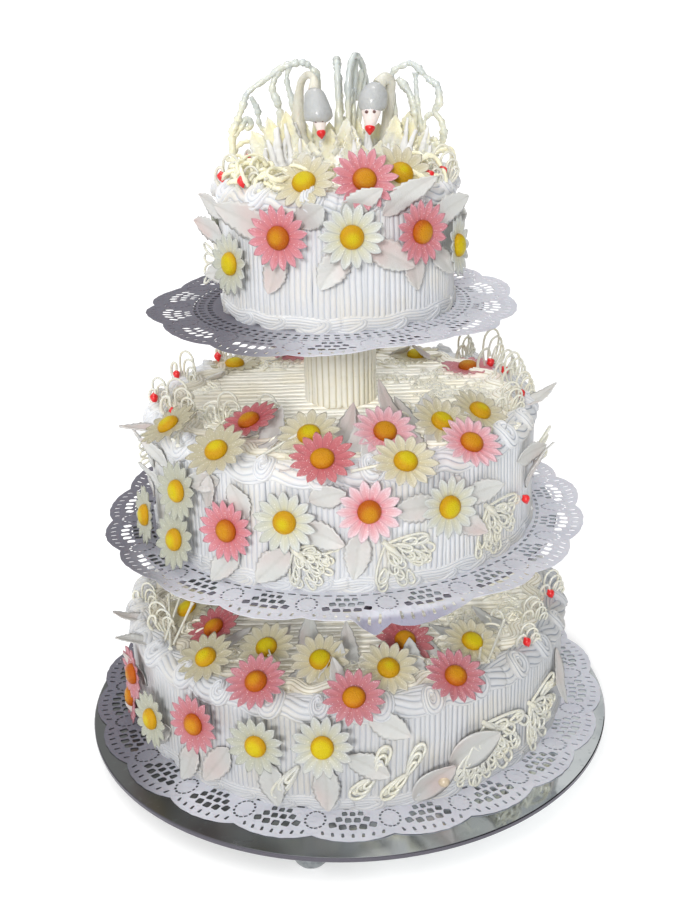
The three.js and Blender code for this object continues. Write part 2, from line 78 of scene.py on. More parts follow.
# ---- Node trees written as arithmetic ----
class Field:
    """One output of a node; each operator on it adds the Math node that does the sum."""

    def __init__(self, graph, socket):
        self.graph = graph
        self.socket = socket

    def __add__(self, other):
        return self.graph.math("ADD", self, other)

    __radd__ = __add__

    def __sub__(self, other):
        return self.graph.math("SUBTRACT", self, other)

    def __rsub__(self, other):
        return self.graph.math("SUBTRACT", other, self)

    def __mul__(self, other):
        return self.graph.math("MULTIPLY", self, other)

    __rmul__ = __mul__

    def __truediv__(self, other):
        return self.graph.math("DIVIDE", self, other)

    def __rtruediv__(self, other):
        return self.graph.math("DIVIDE", other, self)

    def __pow__(self, other):
        return self.graph.math("POWER", self, other)

    def __neg__(self):
        return self.graph.math("MULTIPLY", self, -1)

    def __lt__(self, other):
        return self.graph.math("LESS_THAN", self, other)

    def __gt__(self, other):
        return self.graph.math("GREATER_THAN", self, other)


def socket_of(sockets, key):
    if isinstance(key, int):
        return sockets[key]
    return next(s for s in sockets if s.name == key and s.enabled)


class Graph:
    """A node tree being built."""

    def __init__(self, tree):
        self.tree = tree

    def node(self, kind, inputs=None, **settings):
        node = self.tree.nodes.new(kind)
        for name, value in settings.items():
            setattr(node, name, value)
        for key, value in (inputs or {}).items():
            socket = socket_of(node.inputs, key)
            for part in value if isinstance(value, list) else [value]:
                if isinstance(part, Field):
                    self.tree.links.new(part.socket, socket)
                else:
                    socket.default_value = int(part) if socket.type == "INT" else part
        return node

    def get(self, kind, inputs=None, output=0, **settings):
        node = self.node(kind, inputs, **settings)
        return Field(self, socket_of(node.outputs, output))

    # Sums
    def math(self, operation, *values):
        kind = "ShaderNodeMath"
        return self.get(kind, dict(enumerate(values)), operation=operation)

    def sin(self, value):
        return self.math("SINE", value)

    def cos(self, value):
        return self.math("COSINE", value)

    def abs(self, value):
        return self.math("ABSOLUTE", value)

    def least(self, a, b):
        return self.math("MINIMUM", a, b)

    def most(self, a, b):
        return self.math("MAXIMUM", a, b)

    def clamp(self, value, low=0.0, high=1.0):
        return self.least(self.most(value, low), high)

    def smooth(self, value, low, high):
        """0 below low, 1 above high, smooth between."""
        inputs = {"Value": value, "From Min": low, "From Max": high}
        return self.get("ShaderNodeMapRange", inputs, interpolation_type="SMOOTHSTEP")

    def vector(self, x, y, z):
        return self.get("ShaderNodeCombineXYZ", {0: x, 1: y, 2: z})

    def split(self, vector):
        node = self.node("ShaderNodeSeparateXYZ", {0: vector})
        return [Field(self, output) for output in node.outputs]

    def noise(self, vector, scale, detail=2.0, rough=0.5):
        """Noise around zero, about -0.5 to 0.5."""
        inputs = {"Vector": vector, "Scale": scale, "Detail": detail, "Roughness": rough}
        return self.get("ShaderNodeTexNoise", inputs) - 0.5

    def random(self, low, high, key, seed):
        inputs = {"Min": low, "Max": high, "ID": key, "Seed": seed}
        return self.get("FunctionNodeRandomValue", inputs, "Value", data_type="FLOAT")

    # Geometry
    def named(self, name):
        return self.get("GeometryNodeInputNamedAttribute", {"Name": name}, "Attribute",
                        data_type="FLOAT")

    def keep(self, geometry, name, value, domain="POINT"):
        inputs = {"Geometry": geometry, "Name": name, "Value": value}
        return self.get("GeometryNodeStoreNamedAttribute", inputs, data_type="FLOAT", domain=domain)

    def position(self):
        return self.get("GeometryNodeInputPosition")

    def sheet(self, columns, rows):
        """A flat grid one unit across, its corner at the origin."""
        inputs = {"Size X": 1.0, "Size Y": 1.0, "Vertices X": columns, "Vertices Y": rows}
        grid = self.get("GeometryNodeMeshGrid", inputs)
        return self.get("GeometryNodeTransform", {"Geometry": grid, "Translation": (0.5, 0.5, 0)})

    def copies(self, unit, count):
        """Copies of a unit in one place, each numbered in the attribute 'copy'."""
        line = self.get("GeometryNodeMeshLine", {"Count": count, "Offset": (0, 0, 0)})
        placed = self.get("GeometryNodeInstanceOnPoints", {"Points": line, "Instance": unit})
        numbered = self.keep(placed, "copy", self.get("GeometryNodeInputIndex"), "INSTANCE")
        return self.get("GeometryNodeRealizeInstances", {"Geometry": numbered})

    def moved(self, geometry, position):
        return self.get("GeometryNodeSetPosition", {"Geometry": geometry, "Position": position})

    def welded(self, geometry):
        return self.get("GeometryNodeMergeByDistance", {"Geometry": geometry, "Distance": SMALLEST})


class ShapeTree(Graph):
    """A Geometry Nodes tree with named sizes as its inputs."""

    def __init__(self, name, sizes, takes_mesh=False):
        super().__init__(bpy.data.node_groups.new(name, "GeometryNodeTree"))
        face = self.tree.interface
        face.new_socket("Geometry", in_out="OUTPUT", socket_type="NodeSocketGeometry")
        if takes_mesh:
            face.new_socket("Geometry", in_out="INPUT", socket_type="NodeSocketGeometry")
        for size, value in sizes.items():
            whole = isinstance(value, int)
            kind = "NodeSocketInt" if whole else "NodeSocketFloat"
            face.new_socket(size, in_out="INPUT", socket_type=kind).default_value = value
        self.given = self.tree.nodes.new("NodeGroupInput")

    def __getitem__(self, size):
        return Field(self, self.given.outputs[size])

    def ends(self, geometry, *materials):
        """Closes the tree: a real mesh with its material, or several for parts 0, 1, 2 …"""
        real = self.get("GeometryNodeRealizeInstances", {"Geometry": geometry})
        for number, material in enumerate(materials):
            inputs = {"Geometry": real, "Material": material}
            if number:
                inputs["Selection"] = self.named("part") > number - 0.5
            real = self.get("GeometryNodeSetMaterial", inputs)
        self.node("NodeGroupOutput", {"Geometry": real})
        return self.tree


def volume_of(mesh):
    """Signed volume: negative where the faces look inwards."""
    mesh.calc_loop_triangles()
    points = np.empty(len(mesh.vertices) * 3)
    mesh.vertices.foreach_get("co", points)
    corners = np.empty(len(mesh.loop_triangles) * 3, dtype=np.int32)
    mesh.loop_triangles.foreach_get("vertices", corners)
    a, b, c = points.reshape(-1, 3)[corners.reshape(-1, 3)].transpose(1, 0, 2)
    return float(np.einsum("ij,ij->i", a, np.cross(b, c)).sum()) / 6


def grow(tree, sizes=None, base=None):
    """The plain mesh that a tree makes with the given sizes, its faces outwards."""
    holder = bpy.data.objects.new("holder", base or bpy.data.meshes.new("holder"))
    bpy.context.scene.collection.objects.link(holder)
    modifier = holder.modifiers.new("shape", "NODES")
    modifier.node_group = tree
    for item in tree.interface.items_tree:
        if item.in_out == "INPUT" and item.name in (sizes or {}):
            modifier[item.identifier] = sizes[item.name]
    depsgraph = bpy.context.evaluated_depsgraph_get()
    mesh = bpy.data.meshes.new_from_object(holder.evaluated_get(depsgraph), depsgraph=depsgraph)
    holder.modifiers.clear()
    bpy.data.objects.remove(holder)
    if volume_of(mesh) < 0:
        mesh.flip_normals()
    return mesh


def points_of(mesh):
    points = np.empty(len(mesh.vertices) * 3)
    mesh.vertices.foreach_get("co", points)
    return points.reshape(-1, 3)


def reshape(mesh, place):
    """Moves every point of a mesh through a function of an array of points."""
    points = np.ascontiguousarray(place(points_of(mesh)), dtype=float)
    mesh.vertices.foreach_set("co", points.ravel())
    mesh.update()
    if volume_of(mesh) < 0:
        mesh.flip_normals()
    return mesh


def gather(meshes):
    """One mesh of several; they share their list of materials."""
    together = bmesh.new()
    for mesh in meshes:
        together.from_mesh(mesh)
    joined = bpy.data.meshes.new("joined")
    together.to_mesh(joined)
    together.free()
    for material in meshes[0].materials:
        joined.materials.append(material)
    for mesh in meshes:
        bpy.data.meshes.remove(mesh)
    return joined


def piece(name, mesh, slot, stands_for=(), level=0.0, aside=0.0, centre_y=AXIS_Y, crease=180.0):
    """A finished piece: the mesh in metres, at its level on the common axis."""
    mesh.transform(Matrix.Scale(MM, 4) @ Matrix.Translation((aside, centre_y, level)))
    mesh.shade_smooth()
    if crease < 180:
        mesh.set_sharp_from_angle(angle=math.radians(crease))
    made = bpy.data.objects.new(name, mesh)
    bpy.context.scene.collection.objects.link(made)
    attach(made, "root")
    if stands_for:
        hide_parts(*stands_for)
    return made


# ---- Finishes ----
def tint(red, green, blue):
    """A colour given as on a colour card, 0 to 255, in the linear values that shaders take."""
    shares = [v / 255 for v in (red, green, blue)]
    return tuple(v / 12.92 if v < 0.04045 else ((v + 0.055) / 1.055) ** 2.4 for v in shares) + (1,)


class Finish(Graph):
    """A material's tree; 'object' is the place on the object in metres."""

    def __init__(self, name):
        self.material = bpy.data.materials.new(name)
        self.material.use_nodes = True
        self.material.node_tree.nodes.clear()
        super().__init__(self.material.node_tree)
        self.object = self.get("ShaderNodeTexCoord", output="Object")

    def mixed(self, share, a, b):
        inputs = {"Factor": share, "A": a, "B": b}
        return self.get("ShaderNodeMix", inputs, "Result", data_type="RGBA")

    def attribute(self, name):
        """A value that the shape's tree keeps at each point."""
        return self.get("ShaderNodeAttribute", output="Fac", attribute_name=name)

    def cells(self, scale):
        """Distance from the middles of cells strewn at random."""
        inputs = {"Vector": self.object, "Scale": scale}
        return self.get("ShaderNodeTexVoronoi", inputs, "Distance")

    def bumps(self, height, depth):
        """Fine relief, its depth in millimetres."""
        inputs = {"Height": height, "Strength": 1.0, "Distance": depth * MM}
        return self.get("ShaderNodeBump", inputs)

    def ends(self, **sockets):
        shader = self.get("ShaderNodeBsdfPrincipled", {
            name.replace("_", " "): value for name, value in sockets.items()})
        self.node("ShaderNodeOutputMaterial", {"Surface": shader})
        return self.material


def whipped_cream(name, crest, groove, warm, rough=0.5, coat=0.0, painted_foot_shade=0.0, sides=(0, 0),
                  shaded_right_groove=None):
    """Whipped cream: crests in their own tone, grooves in a darker tone of painted shade,
    warm patches and fine pores.

    Its places are in metres: the painted shade in the grooves grows darker towards the right,
    and painted shade darkens the cream at the foot of the cake by a given share and greys it
    on its two sides.
    """
    f = Finish(name)
    lie = f.smooth(f.attribute("crest"), 0.0, 0.7)
    across, _, up = f.split(f.object)
    # painted shade: the grooves take a darker tone towards the right side
    groove = f.mixed(f.smooth(across, 0.02, 0.15), groove, shaded_right_groove or groove)
    # painted shade in the grooves: they take the darker groove tone, the crests their own
    tone = f.mixed(lie, groove, crest)
    patch = f.smooth(f.noise(f.object, 26, 3), -0.08, 0.22) * 0.8
    tone = f.mixed(patch, tone, f.mixed(lie, groove, warm))
    # painted shade: the cream is darkened towards the foot of the cake
    low = f.smooth(up + f.noise(f.object, 4) * 0.05, 0.24, 0.12)
    tone = f.mixed(low * painted_foot_shade, tone, (0, 0, 0, 1))
    # painted shade: the cream greys towards the left and towards the right by the two given shares
    left, right = sides
    tone = f.mixed(f.smooth(across, 0.0, -0.12) * left, tone, tint(168, 160, 140))
    tone = f.mixed(f.smooth(across, 0.1, 0.19) * right, tone, tint(136, 144, 152))
    pores = f.noise(f.object, 900, 2) * 0.5 + f.noise(f.object, 260, 3)
    return f.ends(Base_Color=tone, Roughness=f.noise(f.object, 120) * 0.2 + rough,
                  Normal=f.bumps(pores, 0.35), Subsurface_Weight=0.12,
                  Subsurface_Radius=(1.0, 0.8, 0.6), Subsurface_Scale=0.004,
                  Specular_IOR_Level=0.4, Coat_Weight=coat, Coat_Roughness=0.2)


# One cream in shaded and lit copies: the sides are painted darker and cooler as shade, the tops
# lighter and more ivory as the light that reaches them
SHADED_SIDE_CREAM = whipped_cream("cream on the sides", tint(216, 217, 219), tint(194, 198, 205),
                            tint(220, 216, 207), painted_foot_shade=0.2, sides=(0, 0.2),
                            shaded_right_groove=tint(160, 167, 178))
LIT_TOP_CREAM = whipped_cream("cream on the tops", tint(250, 247, 236), tint(208, 197, 168),
                           tint(248, 240, 216), rough=0.3, coat=0.4, painted_foot_shade=0.16,
                           sides=(0.55, 0))
CREAM_COLUMN = whipped_cream("cream on the columns", tint(250, 246, 232), tint(232, 223, 200),
                             tint(248, 239, 214))


# ---- Piped cream ----
RIDGE_POINTS = 6                 # mesh points across one ridge
CROWDING = 0.45                  # how far those points are drawn towards the grooves


def ribbons(g, count, rows, ends=30.0):
    """Closed ribbons of cream: grooved in front, flat behind, drawn to a point at both ends.

    Gives the mesh, the place across (-1 to 1) and along (0 to 1), the cream's thickness there
    as a share, how high it lies between groove and crest, and the copy's number.
    """
    fronts = g["Ridges"] * RIDGE_POINTS
    mesh = g.copies(g.sheet(fronts + 2.1, rows + 0.1), count + 0.1)
    x, along, _ = g.split(g.position())
    column = x * (fronts + 1)
    front = column / fronts * (column < fronts + 0.5)
    turn = g["Ridges"] * math.pi
    front = front - g.sin(front * turn * 2) * CROWDING / (turn * 2)
    across = front * 2 - 1
    crest = g.abs(g.sin(front * turn)) ** 0.7
    cap = g.most(1 - g.abs(across) ** 5, 0) ** 0.5
    taper = g.most(1 - g.abs(along * 2 - 1) ** ends, 0) ** 0.5
    return mesh, across, along, cap, crest, taper, g.named("copy")


def ring_place(g, azimuth, radius, height):
    """A point at an azimuth in radians from the front, a radius and a height."""
    return g.vector(radius * g.sin(azimuth), -(radius * g.cos(azimuth)), height)


def wall_tree(name, cream):
    """Upright strips of piped ridges side by side around a wall."""
    g = ShapeTree(name, {"Radius": 200.0, "Foot": 0.0, "Height": 100.0, "Strips": 57, "Ridges": 5,
                         "Depth": 2.2, "Thickness": 1.6, "Sway": 1.0, "Lean": 1.5, "Seed": 1})
    mesh, across, along, cap, crest, taper, copy = ribbons(g, g["Strips"], 26)
    seed = g["Seed"]
    step = math.tau / g["Strips"]
    loose = g.random(-0.1, 0.1, copy, seed)
    wide = g.random(1.1, 1.24, copy, seed + 1.1) * step / 2
    wander = g.noise(g.vector(along * 2.2, copy * 3.7, seed), 1.0, 1.0) * g["Sway"]
    lean = g.random(-1.0, 1.0, copy, seed + 2.1) * g["Lean"] * (along - 0.5)
    pinch = 1 + g.noise(g.vector(along * 3, copy * 5.3, seed + 9.5), 1.0) * 0.12
    azimuth = (copy + 0.5 + loose) * step + across * wide * taper * pinch
    azimuth = azimuth + (wander + lean) / g["Radius"]
    short = g.random(0.0, 2.0, copy, seed + 3.1)
    level = g["Foot"] + along * (g["Height"] - short)
    worn = 1 + g.noise(g.vector(across * 1.3, along * 7, copy * 2.9), 1.6) * 0.5
    proud = g.random(-0.25, 0.45, copy, seed + 4.1)
    off = cap * taper * (g["Thickness"] + proud + crest * g["Depth"] * worn) - 1.0
    mesh = g.keep(mesh, "crest", crest * cap)
    mesh = g.moved(mesh, ring_place(g, azimuth, g["Radius"] + off, level))
    return g.ends(g.welded(mesh), cream)


def top_tree(name, cream):
    """Strips of piped ridges side by side over a round top face."""
    g = ShapeTree(name, {"Radius": 180.0, "Level": 100.0, "Strips": 19, "Ridges": 5, "Depth": 1.6,
                         "Thickness": 1.4, "Sway": 3.0, "Seed": 1})
    mesh, across, along, cap, crest, taper, copy = ribbons(g, g["Strips"], 46, 40.0)
    seed = g["Seed"]
    half = g["Radius"] / g["Strips"]
    centre = (copy * 2 + 1 - g["Strips"]) * half
    reach = g.most(g["Radius"] ** 2 - centre ** 2, 1) ** 0.5 * g.random(0.97, 1.02, copy, seed)
    wander = g.noise(g.vector(along * 3, copy * 3.1, seed), 1.0, 1.0) * g["Sway"]
    y = centre + wander + across * half * 1.1 * taper
    x = (along * 2 - 1) * reach + across * g.random(-2, 2, copy, seed + 1.1)
    worn = 1 + g.noise(g.vector(across * 1.3, along * 9, copy * 2.9), 1.6) * 0.7
    off = cap * taper * (g["Thickness"] + g.random(-0.4, 0.8, copy, seed + 2.1)
                         + crest * g["Depth"] * worn) - 1.0
    mesh = g.keep(mesh, "crest", crest * cap)
    mesh = g.moved(mesh, g.vector(x, y, g["Level"] + off))
    return g.ends(g.welded(mesh), cream)


RIM_BEND = 10                    # radius of the rounded top edge


def rim_place(g, s, t, off):
    """Over the rounded top edge: s along the rim, t outwards over the face and down the wall."""
    bend = g.clamp(t / RIM_BEND, 0, math.pi / 2)
    radius = g["Radius"] - RIM_BEND + g.least(t, 0) + (off + RIM_BEND) * g.sin(bend)
    drop = g.most(t - RIM_BEND * math.pi / 2, 0)
    level = g["Height"] - RIM_BEND + (off + RIM_BEND) * g.cos(bend) - drop
    return ring_place(g, s / g["Radius"], radius, level)


def wall_place(g, s, t, off):
    """On the wall: s along it, t upwards."""
    return ring_place(g, s / g["Radius"], g["Radius"] + off, t)


def scroll_tree(name, cream, place):
    """Running scrolls: each ribbon comes in along a tail and curls up over itself."""
    g = ShapeTree(name, {"Radius": 200.0, "Height": 100.0, "Scrolls": 28, "Ridges": 5, "Depth": 1.8,
                         "Curl": 7.5, "Ribbon": 7.5, "Tail": 46.0, "Line": 6.0, "Stretch": 1.0,
                         "Swell": 5.0, "Turns": 1.3, "Rise": 4.0, "Seed": 1})
    mesh, across, along, cap, crest, taper, copy = ribbons(g, g["Scrolls"], 40, 24.0)
    seed = g["Seed"]
    tail_share = 0.36
    curled = g.clamp((along - tail_share) / (1 - tail_share), 0, 1)
    on_tail = g.clamp(1 - along / tail_share, 0, 1)
    size = g.random(0.86, 1.12, copy, seed)
    wide = g["Ribbon"] * size * (1 - curled * 0.62) * taper
    turn = curled * g["Turns"] * math.tau + g.random(-0.3, 0.3, copy, seed + 1.1)
    ray = g["Curl"] * size * (1 - curled) ** 0.8 + 1.5 + across * wide
    # The curl starts straight above its centre, where the tail joins it from the left.
    s = g.sin(turn) * ray * g["Stretch"] - on_tail * g["Tail"]
    t = -(g.cos(turn) * ray) + g.sin(on_tail * math.pi) * g["Line"] * -0.6
    t = t + on_tail ** 2 * g["Curl"] * 1.3
    middle = g.random(-2.0, 2.0, copy, seed + 2.1)
    step = math.tau * g["Radius"] / g["Scrolls"]
    s = s + (copy + 0.5 + g.random(-0.08, 0.08, copy, seed + 3.1)) * step
    t = t + g["Line"] + middle
    swell = g["Swell"] * g.most(1 - on_tail * 0.75, 0) * size
    worn = 1 + g.noise(g.vector(across * 1.1, along * 9, copy * 2.3), 1.5) * 0.5
    off = cap * taper * (swell * g.abs(g.cos(across * 0.9)) + curled ** 1.5 * g["Rise"]
                         + crest * g["Depth"] * worn + 2.0) - 2.0
    mesh = g.keep(mesh, "crest", crest * cap)
    mesh = g.moved(mesh, place(g, s, t, off))
    return g.ends(g.welded(mesh), cream)


def wave_tree(name, cream, place):
    """One ribbon around the cake that runs in waves, in lengths that overlap a little."""
    g = ShapeTree(name, {"Radius": 200.0, "Height": 100.0, "Lengths": 9, "Waves": 28, "Ridges": 5,
                         "Depth": 1.8, "Ribbon": 9.0, "Line": -12.0, "Sweep": 5.0, "Swell": 3.0,
                         "Seed": 1})
    mesh, across, along, cap, crest, taper, copy = ribbons(g, g["Lengths"], 66, 60.0)
    seed = g["Seed"]
    whole = math.tau * g["Radius"]
    s = (copy + along * 1.03) / g["Lengths"] * whole
    phase = s / whole * math.tau * g["Waves"]
    drift = g.noise(g.vector(s * 0.02, seed, 0), 1.0, 1.0)
    sweep = g["Sweep"] * (1 + drift)
    wave = g.sin(phase + drift * 3) * sweep
    slope = g.cos(phase + drift * 3) * sweep * g["Waves"] / g["Radius"]
    wide = g["Ribbon"] * taper * (1 + g.noise(g.vector(s * 0.05, seed + 4.0, 0), 1.0) * 0.3)
    s = s - across * wide * slope * 0.6
    t = g["Line"] + wave + across * wide + drift * 3
    worn = 1 + g.noise(g.vector(across * 1.1, s * 0.06, copy * 2.3), 1.5) * 0.5
    off = cap * taper * (g["Swell"] * g.cos(across * 1.1) + crest * g["Depth"] * worn + 2.0) - 2.0
    mesh = g.keep(mesh, "crest", crest * cap)
    mesh = g.moved(mesh, place(g, s, t, off))
    return g.ends(g.welded(mesh), cream)


def core_tree(name, cream):
    """The cake under its piping: a turned body with a rounded edge and a rough skin."""
    g = ShapeTree(name, {"Radius": 200.0, "Height": 100.0})
    around, up, _ = g.split(g.position())
    mesh = g.sheet(181, 40)
    rim = g["Radius"] - RIM_BEND
    t = up * (g["Radius"] * 2 + g["Height"])
    over = t - g["Radius"]
    side = g["Height"]
    radius = g.least(g.least(t, g["Radius"]), g["Radius"] * 2 + g["Height"] - t)
    level = g.clamp(over, 0, side)
    rough = g.noise(g.vector(g.sin(around * math.tau) * 9, g.cos(around * math.tau) * 9,
                             t * 0.05), 1.0)
    corner = g.smooth(level, side - RIM_BEND, side) * 3
    radius = radius - g.smooth(radius, rim, g["Radius"]) * (corner + 1.6 + rough)
    mesh = g.keep(mesh, "crest", 0.5)
    mesh = g.moved(mesh, ring_place(g, -(around * math.tau), g.most(radius, 0), level))
    return g.ends(g.welded(mesh), cream)


RIDGE_PITCH = 4.3                # across one ridge of a wall's strips
WALL_RIDGES = 5
TOP_PITCH = 9.4
TOP_RIDGES = 4
wall_strips = wall_tree("piped wall", SHADED_SIDE_CREAM)
column_strips = wall_tree("piped column", CREAM_COLUMN)
top_strips = top_tree("piped top", LIT_TOP_CREAM)
rim_scrolls = scroll_tree("rim scrolls", SHADED_SIDE_CREAM, rim_place)
inner_waves = wave_tree("inner rim waves", LIT_TOP_CREAM, rim_place)
outer_waves = wave_tree("outer rim waves", SHADED_SIDE_CREAM, rim_place)
foot_scrolls = scroll_tree("foot shells", SHADED_SIDE_CREAM, wall_place)
foot_waves = wave_tree("foot strips", SHADED_SIDE_CREAM, wall_place)
cake_core = core_tree("cake under its cream", LIT_TOP_CREAM)

for seed, (name, tier) in enumerate(TIERS.items()):
    wall, height, base = tier["wall"], tier["height"], tier["base"]
    core = grow(cake_core, {"Radius": float(wall), "Height": float(height)})
    piece("cake_core_" + name, core, "cake_cream", ["cake_" + name], base)
    strips = round(math.tau * wall / (RIDGE_PITCH * WALL_RIDGES))
    walls = grow(wall_strips, {"Radius": wall - 0.5, "Foot": 2.0, "Height": height - 7.0,
                               "Strips": strips, "Ridges": WALL_RIDGES, "Depth": 1.4,
                               "Sway": 2.0, "Lean": 2.6, "Seed": 10 * seed + 1})
    piece("piped_wall_" + name, walls, "cake_cream", level=base)
    tops = grow(top_strips, {"Radius": wall - 20.0, "Level": height - 0.6, "Depth": 3.2,
                             "Seed": 10 * seed + 2, "Ridges": TOP_RIDGES,
                             "Strips": round((wall - 20) * 2 / (TOP_PITCH * TOP_RIDGES))})
    piece("piped_top_" + name, tops, "cake_cream", level=base)
    rim = {"Radius": float(wall), "Height": float(height), "Seed": 10 * seed + 3}
    runs = {"Lengths": tier["scrolls"] // 3, "Waves": tier["scrolls"]}
    waves = grow(inner_waves, rim | runs | {"Line": -16.0, "Swell": 6.5, "Ribbon": 9.0,
                                            "Depth": 1.2})
    piece("rim_waves_inner_" + name, waves, "cake_cream", level=base)
    waves = grow(outer_waves, rim | runs | {"Line": 7.0, "Ribbon": 12.0, "Sweep": 3.0, "Swell": 3.0,
                                            "Seed": 10 * seed + 6})
    piece("rim_waves_outer_" + name, waves, "cake_cream", level=base)
    scrolls = grow(rim_scrolls, rim | {"Scrolls": tier["scrolls"], "Ridges": 4, "Curl": 7.4,
                                       "Ribbon": 7.6, "Tail": 50.0, "Turns": 1.25, "Rise": 6.0,
                                       "Line": 5.0, "Depth": 1.6})
    piece("rim_scrolls_" + name, scrolls, "cake_cream", level=base)
    foot = {"Radius": float(wall), "Seed": 10 * seed + 4, "Depth": 0.6}
    shells = {"Scrolls": round(tier["scrolls"] * 1.3), "Ridges": 4, "Curl": 4.0, "Ribbon": 6.5,
              "Tail": 26.0, "Line": 8.0, "Stretch": 1.5, "Swell": 3.2, "Rise": 0.6, "Turns": 0.35}
    strip = runs | {"Line": 6.5, "Ribbon": 6.5, "Sweep": 1.0, "Swell": 2.5}
    piece("foot_shells_" + name, gather([grow(foot_scrolls, foot | shells),
                                         grow(foot_waves, foot | strip)]), "cake_cream", level=base)

for name, (foot, head) in COLUMNS.items():
    ribs = grow(column_strips, {"Radius": 31.4, "Height": head - foot, "Strips": 8, "Depth": 1.6,
                                "Thickness": 1.2, "Sway": 0.6, "Lean": 0.6, "Seed": 40})
    column = grow(cake_core, {"Radius": 31.0, "Height": head - foot})
    piece("column_cream_" + name, gather([column, ribs]), "column_cream", ["column_" + name], foot)


# ---- Sugar daisies ----
def petal_finish(name, heart, middle, tip, seam, painted_left_shade=None, painted_foot_shade=0.2):
    """Pressed sugar petals: deeper at the heart, paler to the tip, painted shade along the seams
    and creases, and glittering flecks whose glints are painted white.

    Painted shade darkens them at the foot of the cake by a given share, and gives those on the
    left a greyer tone when one is given.
    """
    f = Finish(name)
    reach = f.attribute("reach")
    tone = f.mixed(f.smooth(reach, 0.34, 0.62), heart, middle)
    tone = f.mixed(f.smooth(reach, 0.62, 1.0), tone, tip)
    across, _, up = f.split(f.object)
    # painted shade: the petals are darkened towards the foot of the cake
    tone = f.mixed(f.smooth(up, 0.2, 0.12) * painted_foot_shade, tone, (0, 0, 0, 1))
    # painted shade: the petals on the left take a greyer tone
    if painted_left_shade:
        patch = f.smooth(across + f.noise(f.object, 12, 1) * 0.12, -0.03, -0.13)
        tone = f.mixed(patch * 0.8, tone, painted_left_shade)
    # painted shade along the creases and the seams between the petals
    lines = f.smooth(f.cos(f.attribute("seam") * (4 * math.pi)), 0.2, 1.0)
    tone = f.mixed(lines * f.smooth(reach, 0.35, 0.7) * 0.16, tone, seam)
    tone = f.mixed(f.smooth(f.attribute("seam"), 0.72, 1.0) * 0.42, tone, seam)
    # painted glints: white flecks of glitter in the colour, where the petals are also shinier
    glint_fleck = f.smooth(f.cells(480), 0.26, 0.04)
    tone = f.mixed(glint_fleck * 0.5, tone, (1, 1, 1, 1))
    grain = f.noise(f.object, 1400, 2) + f.noise(f.object, 300) * 0.6
    return f.ends(Base_Color=tone, Roughness=0.5 - glint_fleck * 0.25,
                  Normal=f.bumps(grain, 0.25), Subsurface_Weight=0.2,
                  Subsurface_Radius=(1.0, 0.8, 0.7), Subsurface_Scale=0.003,
                  Coat_Weight=0.15, Coat_Roughness=0.25)


def dome_finish(name, crown, foot):
    """Granular sugar dome."""
    f = Finish(name)
    grains = f.cells(1100)
    lie = f.smooth(f.attribute("reach") + f.noise(f.object, 22, 1) * 1.6, 0.3, 1.0)
    tone = f.mixed(lie, crown, foot)
    # painted glints: pale yellow specks over the granules
    tone = f.mixed(f.smooth(f.cells(620), 0.2, 0.02) * 0.3, tone, tint(250, 225, 110))
    return f.ends(Base_Color=tone, Roughness=0.42, Normal=f.bumps(grains, 0.5),
                  Subsurface_Weight=0.1, Subsurface_Radius=(1.0, 0.6, 0.1),
                  Subsurface_Scale=0.002, Specular_IOR_Level=0.2, Coat_Weight=0.05,
                  Coat_Roughness=0.3)


PETALS_OF = {
    "white": petal_finish("white petals", tint(194, 190, 148), tint(194, 194, 176),
                          tint(194, 197, 194), tint(150, 152, 142), tint(160, 162, 144)),
    "cream": petal_finish("cream petals", tint(190, 178, 134), tint(192, 184, 152),
                          tint(198, 192, 172), tint(152, 146, 124), tint(160, 154, 128),
                          painted_foot_shade=0.0),
    "pale": petal_finish("pale pink petals", tint(210, 118, 128), tint(212, 160, 166),
                         tint(216, 192, 198), tint(178, 108, 120)),
    "light": petal_finish("light pink petals", tint(204, 120, 126), tint(208, 150, 156),
                          tint(212, 174, 182), tint(174, 104, 116)),
    "pink": petal_finish("pink petals", tint(192, 100, 104), tint(194, 116, 122),
                         tint(198, 134, 144), tint(164, 82, 96)),
    "rose": petal_finish("rose petals", tint(174, 74, 78), tint(180, 90, 96),
                         tint(186, 110, 114), tint(144, 52, 64)),
}
LEMON_DOME = dome_finish("lemon dome", tint(198, 178, 0), tint(190, 142, 0))
ORANGE_DOME = dome_finish("orange dome", tint(192, 130, 0), tint(172, 86, 0))


